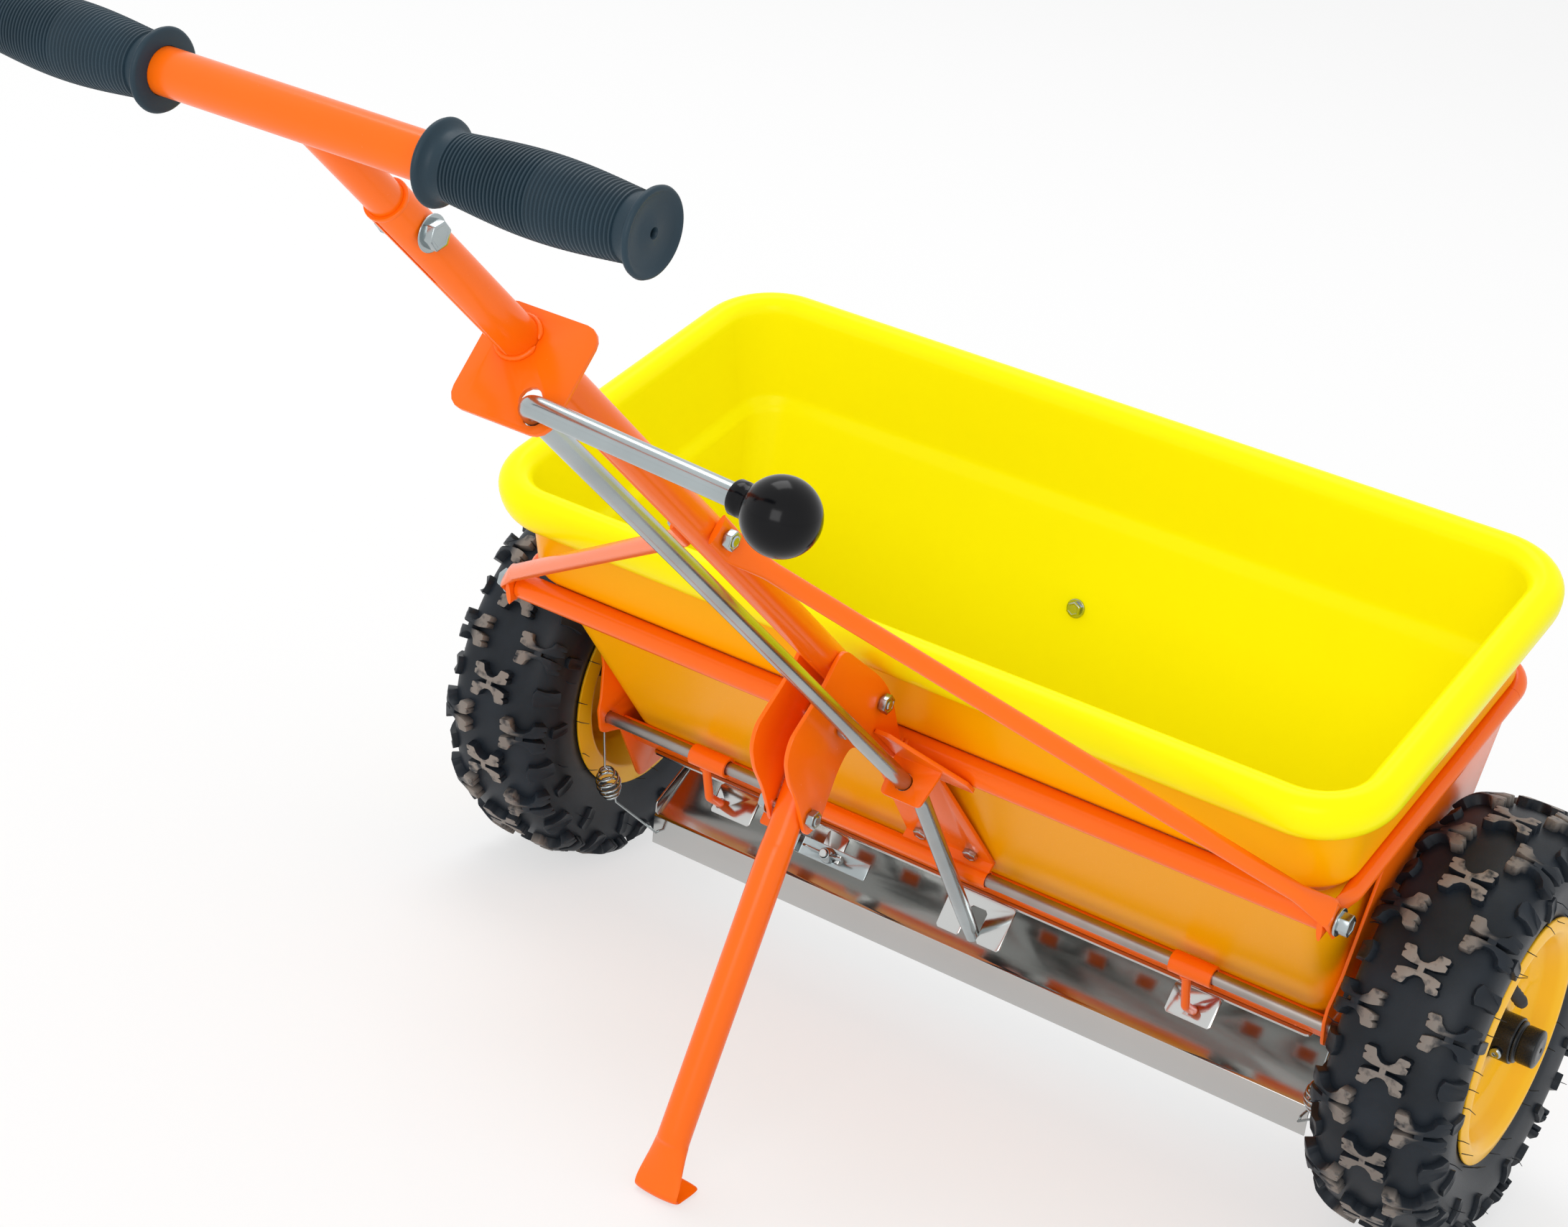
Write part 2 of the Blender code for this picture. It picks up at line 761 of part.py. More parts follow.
def make_rails(machine):
    """The rear crossbar and the thinner rail round the hopper's sides and front."""
    bm = bmesh.new()
    ends = [Vector((s * crossbar_half, crossbar_y, crossbar_z)) for s in (-1, 1)]
    rod(bm, ends, crossbar_radius, 16, crossbar_radius - crossbar_wall)
    add("rear_crossbar", bm, orange, machine, smooth=40)
    joint_y = rail_front_y - rail_corner - 0.004
    for sign, name in ((-1, "left"), (1, "right")):
        flat_x = sign * rail_flat_x
        points = [
            Vector((flat_x, crossbar_y - 0.013, crossbar_z)),
            Vector((flat_x, crossbar_y + 0.011, crossbar_z)),
            Vector((sign * rail_x, crossbar_y + 0.028, rail_z)),
            Vector((sign * rail_x, joint_y - gap, rail_z)),
        ]
        bm = bmesh.new()
        squashed_rod(bm, points, rail_radius, (True, True, False, False))
        rail = add("side_rail_" + name, bm, orange, machine, smooth=50)
        hole = bmesh.new()
        middle = Vector((flat_x, crossbar_y, crossbar_z))
        rod(hole, [middle - side * 0.01, middle + side * 0.01], bolt_radius + gap)
        cut(rail, hole, "rail_hole_" + name)
    bm = bmesh.new()
    corners = [(-rail_x, joint_y, rail_z), (-rail_x, rail_front_y, rail_z),
               (rail_x, rail_front_y, rail_z), (rail_x, joint_y, rail_z)]
    rod(bm, round_path(corners, rail_corner, 4), rail_radius, 10, up=Vector((0, 0, 1)))
    add("front_rail", bm, orange, machine, smooth=40)


def side_plate_outline():
    """The side plate's outline as (y, z), with its fold taken along Z."""
    top = rail_z - rail_radius - gap
    low = tray_pin_z - 0.010
    rear = guide_y - 0.0105
    return [
        (rear_wall(top) + 0.066, top), (-0.077, 0.068), (rear, guide_z + 0.012),
        (rear, guide_z - 0.009), (guide_y + 0.013, guide_z - 0.020),
        (-0.050, low), (tray_pin_y + 0.010, low), (tray_pin_y + 0.016, tray_pin_z + 0.020),
        (rail_front_y - rail_corner - 0.006, top),
    ]


def make_side_plates(machine):
    """The sheet at each end, folded outwards above the axle to carry the side rail."""
    top = rail_z - rail_radius - gap
    lean = (rail_x - 0.0010 - side_plate_x) / (top - side_plate_fold_z)
    for sign, name in ((-1, "left"), (1, "right")):
        bm = bmesh.new()
        holes = [circle(0, 0, bush_radius + gap, 16), circle(guide_y, guide_z, guide_radius + gap, 10),
                 circle(tray_pin_y, tray_pin_z, tray_pin_radius + gap, 8)]
        plate(bm, round_corners(side_plate_outline(), 0.008, 2), side_plate_thickness, side_on, holes)
        bmesh.ops.bisect_plane(bm, geom=bm.verts[:] + bm.edges[:] + bm.faces[:], dist=1e-6,
                               plane_co=(0, 0, side_plate_fold_z), plane_no=(0, 0, 1))
        for vert in bm.verts:
            rise = max(vert.co.z - side_plate_fold_z, 0)
            vert.co.x = sign * (side_plate_x + vert.co.x + lean * rise)
        add("side_plate_" + name, bm, orange, machine)


def make_gusset(machine):
    """The trapezoid that ties the crossbar to the hopper's foot and carries the guide shaft in its barrel."""
    top = crossbar_z - crossbar_radius - 4 * gap
    foot = Vector((guide_y + 0.001, guide_z + barrel_radius - sheet / 2))
    bm = bmesh.new()
    path = [(gusset_mid(top), top), (gusset_mid(gusset_bend_z), gusset_bend_z), (foot.x, foot.y)]
    folded(bm, path, sheet, [gusset_top_half, gusset_foot_half, gusset_foot_half])
    gusset = add("centre_gusset", bm, orange, machine)
    bore = around(guide_radius, barrel_sides)
    profile = [(barrel_left, bore), (barrel_left, barrel_radius), (gusset_foot_half, barrel_radius),
               (gusset_foot_half, bore)]
    bm = bmesh.new()
    turned(bm, profile, side, Vector((0, guide_y, guide_z)), barrel_sides, closed=True)
    boolean(gusset, add("guide_barrel", bm, orange, machine), "UNION")
    tunnel = bmesh.new()
    ends = [Vector((x, guide_y, guide_z)) for x in (barrel_left - 0.01, gusset_foot_half + 0.01)]
    rod(tunnel, ends, bore, barrel_sides)
    cut(gusset, tunnel, "guide_tunnel")
    holes = bmesh.new()
    for sign, name in ((-1, "left"), (1, "right")):
        middle = Vector((sign * gusset_screw_x, gusset_mid(gusset_screw_z), gusset_screw_z))
        rod(holes, [middle - gusset_out * 0.01, middle + gusset_out * 0.01], small_bolt_radius + gap)
        bm = bmesh.new()
        seat = middle + gusset_out * (sheet / 2 + gap)
        grip = sheet + gusset_standoff + hopper_wall + 4 * gap
        bolt(bm, seat, -gusset_out, grip, small_bolt_radius, small_bolt_flats, small_bolt_head)
        add("gusset_screw_" + name, bm, zinc, machine)
    cut(gusset, holes, "gusset_holes")


tab_down = Vector((0, -math.cos(tab_slope), -math.sin(tab_slope)))
tab_out = Vector((0, -math.sin(tab_slope), math.cos(tab_slope)))


crank_way = Vector((math.cos(crank_angle), math.sin(crank_angle), 0))
crank_top = rod_top + handle_down * (rod_top_rise + rod_bend_along)
crank_tip = crank_top + handle_down * crank_drop + handle_back * crank_offset * crank_way.y
plate_edge = Vector((0, shutter_rear, shutter_z - shutter_thickness / 2))
crank_share = (plate_edge - crank_top).dot(tab_out) / (crank_tip - crank_top).dot(tab_out)
crank_reach = crank_offset * crank_share
fork_centre_x = rod_x + crank_reach * crank_way.x - shutter_shift
shutter_travel = crank_reach * (crank_way.x - math.cos(crank_angle + lever_open))


def on_tab(x, reach, out=0.0):
    """The point of the shutter's sloping tabs, reach down from its rear edge and out from their middle."""
    return plate_edge + side * x + tab_down * reach + tab_out * out


def make_centre_bracket(machine):
    """The folded bracket on the crossbar whose tab holds the lever rod's lower bearing hole."""
    tangent = Vector((0, crossbar_y, crossbar_z)) + handle_back * (crossbar_radius + gap + sheet / 2)
    left = ear_x + sheet / 2 + gap
    rise = 0.062
    leg = [(left, -0.006), (rod_x + 0.037, -0.006), (rod_x + 0.037, 0.010),
           (left + 0.012, rise), (left, rise)]
    bm = bmesh.new()
    plate(bm, round_corners(leg, 0.003), sheet, placed(side, -handle_down, tangent))
    bracket = add("centre_bracket", bm, orange, machine)
    along = (hole_point - tangent).dot(handle_down)
    back = (hole_point - tangent).dot(handle_back)
    tab = [(rod_x - 0.0145, -sheet * 0.3), (rod_x + 0.022, -sheet * 0.3), (rod_x + 0.018, back + 0.0125),
           (rod_x - 0.0120, back + 0.0125)]
    bm = bmesh.new()
    place = placed(side, handle_back, tangent + handle_down * along)
    plate(bm, round_corners(tab, 0.004), sheet, place, [circle(rod_x, back, rod_radius + running_gap, 16)])
    wing = add("lever_tab", bm, orange, machine)
    return boolean(bracket, wing, "UNION")


def make_front_stay(machine):
    """The strip down the hopper's front wall, with the bolt whose head shows inside."""
    def front(z, out):
        return 2 * hopper_forward - rear_wall(z) + out
    low = mouth_z + front_stay_rise
    out = gap + sheet * 0.56
    path = [(front(low, out), low), (front(rail_z - 0.028, out), rail_z - 0.028),
            (rail_front_y - 0.002, rail_z - rail_radius - gap - 0.0004)]
    bm = bmesh.new()
    folded(bm, path, sheet, [front_stay_half] * 3, front_stay_x)
    stay = add("front_stay", bm, orange, machine)
    centre = Vector((front_stay_x, front(front_stay_bolt_z, 0), front_stay_bolt_z))
    hole = bmesh.new()
    rod(hole, [centre - front_normal * 0.02, centre + front_normal * 0.02], small_bolt_radius + gap)
    cut(stay, hole, "front_stay_hole")
    bm = bmesh.new()
    seat = centre - front_normal * (hopper_wall + gap)
    bolt(bm, seat, front_normal, hopper_wall + sheet + 4 * gap, small_bolt_radius, small_bolt_flats,
         small_bolt_head, washer=0.0012)
    add("front_stay_bolt", bm, zinc, machine)


def make_handle(machine):
    """The lower tube with its clamped top, the stem in it, the cross handle and its two grips."""
    foot = on_handle(handle_foot_z)
    top = on_handle(handle_top_z)
    bm = bmesh.new()
    rod(bm, [foot, top], tube_radius, 14, tube_radius - tube_wall, side)
    tube = add("handle_tube", bm, orange, machine, smooth=40)
    holes = bmesh.new()
    for z in (handle_bolt_z, brace_bolt_z, clamp_bolt_z):
        middle = on_handle(z)
        rod(holes, [middle - side * 0.03, middle + side * 0.03], around(small_bolt_radius, 8), 8)
    split = on_handle(handle_top_z, tube_radius)
    place = placed(side, -handle_down, split)
    slit = bmesh.new()
    plate(slit, corner_rectangle(-slit_half, slit_half, -slit_depth, tube_radius, slit_half * 0.6, 2),
          tube_radius, place)
    cut(tube, holes, "tube_holes")
    cut(tube, slit, "tube_slit")

    bm = bmesh.new()
    low = top + handle_down * stem_insert
    rod(bm, [low, on_handle(bar_z)], stem_radius, 14, stem_radius - tube_wall, side)
    stem = add("handle_stem", bm, orange, machine, smooth=40)
    cope = bmesh.new()
    rod(cope, [bar_centre - side * 0.03, bar_centre + side * 0.03], around(tube_radius, 14), 14)
    middle = on_handle(clamp_bolt_z)
    pin = bmesh.new()
    rod(pin, [middle - side * 0.03, middle + side * 0.03], around(small_bolt_radius, 8), 8)
    cut(stem, cope, "bar_cope")
    cut(stem, pin, "stem_hole")

    bm = bmesh.new()
    ends = [bar_centre + side * s * bar_half_length for s in (-1, 1)]
    rod(bm, ends, tube_radius, 14, tube_radius - tube_wall)
    add("t_bar", bm, orange, machine, smooth=40)
    for sign, name in ((-1, "left"), (1, "right")):
        make_grip(machine, sign, name)


def make_grip(machine, sign, name):
    """A ribbed rubber grip, swelled in its middle, with a flange at each end and a closed outer end."""
    inner_end = bar_half_length - grip_length + grip_cap
    collar = grip_flange_radius - 0.0025
    bore = around(tube_radius, grip_sides)
    profile = [(0.0, bore), (0.0, collar), (grip_flange * 0.5, grip_flange_radius), (grip_flange, collar)]
    start = grip_flange + 0.002
    stop = grip_length - grip_flange - 0.002
    steps = 2 * grip_ribs
    for i in range(steps + 1):
        share = i / steps
        swell = math.sin(math.pi * share) ** 1.2
        rib = grip_rib_height * (i % 2)
        profile.append((start + (stop - start) * share,
                        grip_end_radius + (grip_middle_radius - grip_end_radius) * swell + rib))
    bar_end = bar_half_length - inner_end + gap
    profile += [(grip_length - grip_flange, collar), (grip_length - grip_flange * 0.5, grip_flange_radius),
                (grip_length, collar), (grip_length + 0.001, 0.004), (bar_end, 0.004), (bar_end, bore)]
    bm = bmesh.new()
    turned(bm, profile, side * sign, bar_centre + side * sign * inner_end, grip_sides, closed=True)
    add("grip_" + name, bm, grip_rubber, machine, smooth=50)


def make_gate_plate(machine):
    """The square plate welded across the handle tube, with the hooked slot that the lever rod turns in."""
    centre = on_handle(gate_plate_z)
    outline = corner_rectangle(gate_plate_left, gate_plate_right, gate_plate_front, gate_plate_rear,
                               gate_plate_corner, 4)
    reach = rod_radius + running_gap
    hook = [(rod_x + dx * reach, rod_offset + dy * reach) for dx, dy in hook_outline()]
    holes = [circle(0, 0, tube_radius + gap, 20), hook]
    bm = bmesh.new()
    plate(bm, outline, sheet, placed(side, handle_back, centre), holes)
    return add("gate_plate", bm, orange, machine)


def hook_outline():
    """The slot's outline in rod radii round the rod: a half round that runs up and in to a rounded end."""
    points = []
    for k in range(9):
        a = math.radians(-60 + 180 * k / 8)
        points.append((math.cos(a), math.sin(a)))
    for k in range(7):
        a = math.radians(120 + 180 * k / 6)
        points.append((-1.1 * math.cos(math.radians(30)) + math.cos(a), -1.1 * 0.9 + math.sin(a)))
    return points


def make_braces(machine):
    """The two round braces from the handle to the frame's rear corners, squashed flat at both ends."""
    high = on_handle(brace_bolt_z)
    low = Vector((0, crossbar_y, crossbar_z))
    fall = (low - high).normalized()
    for sign, name in ((-1, "left"), (1, "right")):
        top = high + side * sign * (tube_radius + gap + flat_half)
        bottom = low + side * sign * brace_flat_x
        points = [top - fall * 0.011, top + fall * 0.013, top + fall * 0.034 + side * sign * 0.018,
                  bottom - fall * 0.034 - side * sign * 0.020, bottom - fall * 0.013, bottom + fall * 0.011]
        bm = bmesh.new()
        squashed_rod(bm, points, rail_radius * 0.94, (True, True, False, False, True, True))
        brace = add("brace_" + name, bm, orange, machine, smooth=50)
        holes = bmesh.new()
        for middle, radius in ((top, small_bolt_radius), (bottom, bolt_radius)):
            rod(holes, [middle - side * 0.008, middle + side * 0.008], radius + gap)
        cut(brace, holes, "brace_holes_" + name)
        bm = bmesh.new()
        seat = bottom + side * sign * (flat_half + gap)
        shank = brace_flat_x + flat_half + gap - crossbar_half + 0.004
        bolt(bm, seat, -side * sign, shank, bolt_radius, bolt_flats, bolt_head, nut=False, washer=bolt_washer)
        plug_start = seat - side * sign * (shank - 0.001)
        plug = bmesh.new()
        plug_radius = crossbar_radius - crossbar_wall - gap
        rod(plug, [plug_start, plug_start - side * sign * 0.009], plug_radius, 16)
        corner_bolt = add("corner_bolt_" + name, bm, zinc, machine)
        boolean(corner_bolt, add("corner_plug_" + name, plug, zinc, machine), "UNION")
    bm = bmesh.new()
    half = tube_radius + 2 * flat_half + 2 * gap
    bolt(bm, high + side * half, -side, 2 * half, small_bolt_radius, small_bolt_flats, small_bolt_head)
    add("brace_bolt", bm, zinc, machine)
    bm = bmesh.new()
    half = tube_radius + gap
    bolt(bm, on_handle(clamp_bolt_z, 0, half), -side, 2 * half, small_bolt_radius, small_bolt_flats,
         small_bolt_head)
    add("clamp_bolt", bm, zinc, machine)


def ear_outline():
    """The ear plate's outline as (y, z): a lens for the leg, running forward along the handle's foot."""
    low = stand_top + stand_down * stand_bolt_spacing
    foot = on_handle(handle_bolt_z)
    top = on_handle(ear_top_z)
    rear = stand_top + Vector((0, -ear_rear_reach, ear_rear_rise))
    bar = Vector((0, crossbar_y - crossbar_radius, crossbar_z))
    corners = [
        (top, 0.6, 0.3), (top, -1.6, -1.5), (rear, 0.6, 1.3), (rear, 0, 0), (rear, 0.2, -1.8),
        (rear, 1.0, -3.8), (low, -0.4, -1.4), (low, 1.2, -1.2), (stand_top, -0.4, -3.2),
        (stand_top, 1.0, -2.2), (bar, -0.35, -0.2), (bar, -0.35, 1.0), (foot, 1.0, 0.8),
    ]
    return [(point.y + ear_margin * y, point.z + ear_margin * z) for point, y, z in corners]


def make_stand(machine):
    """The two ears, the leg between them and the bolts that hold it and the handle's foot."""
    low = stand_top + stand_down * stand_bolt_spacing
    foot = on_handle(handle_bolt_z)
    holes = [circle(p.y, p.z, small_bolt_radius + gap) for p in (stand_top, low, foot)]
    for sign, name in ((-1, "left"), (1, "right")):
        bm = bmesh.new()
        plate(bm, round_corners(ear_outline(), 0.006, 1), sheet, side_on, holes)
        bmesh.ops.translate(bm, verts=bm.verts, vec=(sign * ear_x, 0, 0))
        add("stand_ear_" + name, bm, orange, machine)
    half = ear_x + sheet / 2 + gap
    for name, point in (("stand_bolt_upper", stand_top), ("stand_bolt_lower", low), ("handle_bolt", foot)):
        bm = bmesh.new()
        bolt(bm, point + side * half, -side, 2 * half, small_bolt_radius, small_bolt_flats, small_bolt_head)
        add(name, bm, zinc, machine)

    flat = Vector((0, math.cos(park_angle), -math.sin(park_angle)))
    up = Vector((0, math.sin(park_angle), math.cos(park_angle)))
    sole = leg_end + up * (foot_thickness / 2)
    top = stand_top - stand_down * 0.012
    rings = []
    leg_up = side.cross(stand_down).normalized()
    for point, width, depth in ((top, leg_radius * 0.96, leg_radius * 0.8),
                                (top + stand_down * 0.085, leg_radius * 0.96, leg_radius * 0.8),
                                (top + stand_down * 0.115, leg_radius, leg_radius),
                                (sole - stand_down * 0.050, leg_radius, leg_radius),
                                (sole - stand_down * 0.012, foot_half_width * 0.97, foot_thickness * 0.60)):
        rings.append(ellipse(point, side * width, leg_up * depth, 12, 0.5))
    turn_up = (leg_up + up).normalized()
    rings.append(ellipse(sole, side * foot_half_width, turn_up * foot_thickness * 0.62, 12, 0.5))
    for share in (0.25, 0.6, 1.0):
        centre = sole + flat * foot_length * share
        rings.append(ellipse(centre, side * foot_half_width * (1 - 0.15 * share ** 3),
                             up * foot_thickness / 2 / math.cos(math.pi / 12), 12, 0.5))
    bm = bmesh.new()
    loft(bm, rings)
    leg = add("stand_leg", bm, orange, machine, smooth=50)
    pins = bmesh.new()
    for point in (stand_top, low):
        rod(pins, [point - side * 0.03, point + side * 0.03], small_bolt_radius + gap)
    cut(leg, pins, "leg_holes")


def make_guide_shaft(machine):
    bm = bmesh.new()
    end = side_plate_x + side_plate_thickness / 2 + guide_overhang
    profile = [(-end, guide_radius * 0.75), (-end + 0.001, guide_radius), (end - 0.001, guide_radius),
               (end, guide_radius * 0.75)]
    turned(bm, profile, side, Vector((0, guide_y, guide_z)), 14)
    add("guide_shaft", bm, steel, machine, smooth=40)


def make_lever(lever):
    """The one-piece lever: knob arm, long straight run in its two bearings, and the cranked lower end.

    Its frame has Z down the long run from the upper bend and X to the operator's right.
    """
    arm_way = Vector((math.cos(arm_angle), math.sin(arm_angle), 0))
    bend_at = rod_top_rise + rod_bend_along
    steep = bend_at + crank_drop
    points = [arm_way * (arm_length - knob_radius * 0.6), Vector(), Vector((0, 0, bend_at)),
              crank_way * crank_offset + Vector((0, 0, steep))]
    bm = bmesh.new()
    rod(bm, round_path(points, arm_bend, 4), rod_radius, 10)
    add("lever_rod", bm, zinc, lever, smooth=40)
    make_knob(lever, arm_way)


def make_knob(lever, arm_way):
    """The ball knob with its short collar, bored for the arm."""
    bore = rod_radius + gap
    ball = knob_radius
    collar = 0.0085
    profile = [(ball * 0.42, bore), (-ball - 0.007, bore), (-ball - 0.007, collar), (-ball + 0.001, collar + 0.001)]
    start = math.asin((collar + 0.001) / ball)
    steps = 6
    for k in range(1, steps):
        a = start + (math.pi - start) * k / steps
        profile.append((-ball * math.cos(a), ball * math.sin(a)))
    profile += [(ball, 0.0012), (ball * 0.42, 0.0012)]
    bm = bmesh.new()
    turned(bm, profile[1:-1], arm_way, arm_way * arm_length, 12)
    knob = add("lever_knob", bm, black, lever, smooth=50)
    drill = bmesh.new()
    rod(drill, [arm_way * (arm_length - ball - 0.02), arm_way * (arm_length - knob_radius * 0.6 + gap)], bore, 14)
    cut(knob, drill, "knob_bore")


def shutter_slots():
    """The shutter's own openings, which stand clear of the drop slots while it is shut."""
    holes = []
    for i in range(slot_count):
        x = (i - (slot_count - 1) / 2) * slot_pitch + shutter_travel - shutter_shift
        left, right = x - slot_length / 2, x + slot_length / 2
        low, high = slot_y - slot_width / 2, slot_y + slot_width / 2
        if right < shutter_half_length - thin_sheet:
            holes.append([(right, high), (left, high), (left, low), (right, low)])
    return holes


def fork_outline():
    """The fork plate's outline as (x, distance down): a plate with a slot that is open at its foot."""
    left = fork_centre_x - fork_gap / 2
    right = fork_centre_x + fork_gap / 2
    return [
        (left - fork_tab, 0), (right + fork_tab, 0), (right + fork_tab, fork_reach), (right, fork_reach),
        (right, fork_slot_end), (left, fork_slot_end), (left, fork_reach), (left - fork_tab, fork_reach),
    ]


def make_shutter(slider):
    """The sliding plate under the slots, with its hook tabs, the stop's tab and the fork for the lever."""
    bm = bmesh.new()
    outline = corner_rectangle(-shutter_half_length, shutter_half_length, shutter_rear, shutter_front, 0.004, 2)
    centre = Vector((0, 0, shutter_z - shutter_thickness / 2))
    plate(bm, outline, shutter_thickness, Matrix.Translation(centre), shutter_slots())
    shutter = add("shutter_plate", bm, stainless, slider)
    place = placed(side, tab_down, on_tab(0, 0))
    half = bracket_half_length
    eye = around(hook_radius, 12)
    tabs = [("fork", round_corners(fork_outline(), 0.002, 1), [])]
    for sign, name in ((-1, "left"), (1, "right")):
        x = sign * bracket_x
        outline = round_corners([(x - half, 0), (x + half, 0), (x + half, bracket_reach),
                                 (x - half, bracket_reach)], 0.002, 1)
        hole = circle(sign * sleeve_x + hook_shift, hook_hole_reach, eye, 12)
        tabs.append(("hook_tab_" + name, outline, [hole]))
    x = stop_tab_x - shutter_shift
    half = stop_tab_half
    outline = round_corners([(x - half, 0), (x + half, 0), (x + half, stop_tab_reach),
                             (x - half, stop_tab_reach)], 0.002, 1)
    tabs.append(("stop_tab", outline, []))
    for name, outline, holes in tabs:
        bm = bmesh.new()
        plate(bm, outline, shutter_thickness, place, holes)
        boolean(shutter, add(name, bm, stainless, slider), "UNION")
    bm = bmesh.new()
    foot = on_tab(x, stop_stud_reach)
    turned(bm, [(0.0, small_bolt_radius), (stop_stud_length, small_bolt_radius)], tab_out, foot, 10)
    boolean(shutter, add("stop_stud", bm, stainless, slider), "UNION")
    for sign, name in ((-1, "left"), (1, "right")):
        make_sleeve(slider, sign, name)


def make_sleeve(slider, sign, name):
    """A sleeve on the guide shaft with the bent-rod hook that carries the shutter by its tab."""
    x = sign * sleeve_x
    centre = Vector((x, guide_y, guide_z))
    bore = around(guide_radius, 12, running_gap)
    profile = [(-sleeve_half_length, bore), (-sleeve_half_length, sleeve_radius),
               (sleeve_half_length, sleeve_radius), (sleeve_half_length, bore)]
    bm = bmesh.new()
    turned(bm, profile, side, centre, 12, closed=True)
    sleeve = add("slide_sleeve_" + name, bm, orange, slider, smooth=40)
    hook_x = x + hook_shift
    hole = on_tab(hook_x, hook_hole_reach)
    neck = Vector((hook_x, guide_y, guide_z - (sleeve_radius + guide_radius) / 2 - gap))
    rise = (neck.y + 0.002 - hole.y) / tab_out.y
    bend = hole + tab_out * rise
    points = [neck, bend, hole - tab_out * hook_end_reach]
    bm = bmesh.new()
    rod(bm, round_path(points, hook_bend_radius, 4), hook_radius, 8)
    boolean(sleeve, add("hook_" + name, bm, orange, slider), "UNION")
    tunnel = bmesh.new()
    reach = side * (sleeve_half_length + 0.01)
    rod(tunnel, [centre - reach, centre + reach], bore, 12)
    cut(sleeve, tunnel, "sleeve_tunnel_" + name)


def make_rate_stop(stop):
    """The slotted strip clamped to the shutter's stop tab, with the turned-up end that meets the frame's lug."""
    lift = shutter_thickness / 2 + gap + stop_strip_thickness / 2
    foot = on_tab(0, stop_stud_reach, lift)
    half = stop_strip_half
    wide = stop_strip_width / 2
    play = small_bolt_radius + gap
    hole = corner_rectangle(-play, play + stop_range, -play, play, small_bolt_radius, 2)
    shift = stop_strip_x - stop_tab_x
    bm = bmesh.new()
    strip = corner_rectangle(-half, half, -wide, wide, 0.001, 1)
    plate(bm, strip, stop_strip_thickness, placed(side, tab_down, foot + side * shift),
          [[(x - shift, y) for x, y in hole]])
    made = add("rate_stop", bm, zinc, stop)
    bm = bmesh.new()
    end = foot + side * (shift - half + stop_strip_thickness / 2)
    turn_up = corner_rectangle(-wide, wide, -stop_strip_thickness / 2, stop_strip_upturn, 0.0005, 1)
    plate(bm, turn_up, stop_strip_thickness, placed(-tab_down, tab_out, end))
    return boolean(made, add("turned_end", bm, zinc, stop), "UNION")


def wing_nut_seat():
    """Where the wing nut rests on the strip, in the slider's frame."""
    lift = shutter_thickness / 2 + 2 * gap + stop_strip_thickness
    return on_tab(stop_tab_x - shutter_shift, stop_stud_reach, lift)


def make_wing_nut(nut):
    """The wing nut. Its frame's Z points out of the tab, along the stud."""
    bore = small_bolt_radius + gap
    boss = wing_boss_radius
    top = wing_boss_height
    profile = [(0.0, bore), (0.0, boss), (top * 0.75, boss * 0.77), (top, boss * 0.68), (top, bore)]
    bm = bmesh.new()
    turned(bm, profile, Vector((0, 0, 1)), Vector(), 10, closed=True)
    made = add("wing_nut", bm, zinc, nut, smooth=50)
    for sign, name in ((-1, "left"), (1, "right")):
        root = Vector((sign * wing_half_span / 3, 0, wing_height * 0.27))
        middle = Vector((sign * wing_half_span * 0.73, 0, wing_height * 0.62))
        tip = Vector((sign * wing_half_span, 0, wing_height))
        rings = sections([root, middle, tip], [(0.0013, 0.0028), (0.0012, 0.0042), (0.0011, 0.0036)], 8, side)
        wing = bmesh.new()
        loft(wing, rings)
        boolean(made, add("wing_" + name, wing, zinc, nut), "UNION")


def make_tray(tray):
    """The deflector tray: one folded mirror sheet with an end cheek and a hinge lug at each side."""
    def local(y, z):
        return (y - tray_pin_y, z - tray_pin_z)

    crease = local(tray_crease_y, tray_crease_z)
    path = [local(tray_front_y, tray_front_z), crease, local(tray_lip_y, tray_lip_z)]
    bm = bmesh.new()
    folded(bm, path, tray_sheet, [tray_half_length] * 3)
    sheet_part = add("deflector_tray", bm, stainless, tray)
    lug = tray_lug_radius
    rise = tray_cheek_rise
    outline = [(lug * 0.6, -lug * 0.8), crease, (crease[0] + 0.002, crease[1] + rise), (-lug * 1.6, rise * 0.5),
               (-lug * 0.7, lug * 0.7), (0, lug), (lug * 0.7, lug * 0.7), (lug, 0)]
    for sign, name in ((-1, "left"), (1, "right")):
        bm = bmesh.new()
        holes = [circle(0, 0, tray_pin_radius + running_gap, 10)]
        plate(bm, round_corners(outline, 0.002, 1), tray_sheet, side_on, holes)
        x = sign * (tray_half_length - tray_sheet / 2)
        bmesh.ops.translate(bm, verts=bm.verts, vec=(x, 0, 0))
        boolean(sheet_part, add("tray_cheek_" + name, bm, stainless, tray), "UNION")


def make_tray_pins(machine):
    for sign, name in ((-1, "left"), (1, "right")):
        bm = bmesh.new()
        outer = side_plate_x + side_plate_thickness / 2 + gap
        seat = Vector((sign * outer, tray_pin_y, tray_pin_z))
        length = outer - (tray_half_length - tray_sheet) + 0.003
        bolt(bm, seat, -side * sign, length, tray_pin_radius, 0.009, 0.0035, nut=False)
        add("tray_pin_" + name, bm, zinc, machine)


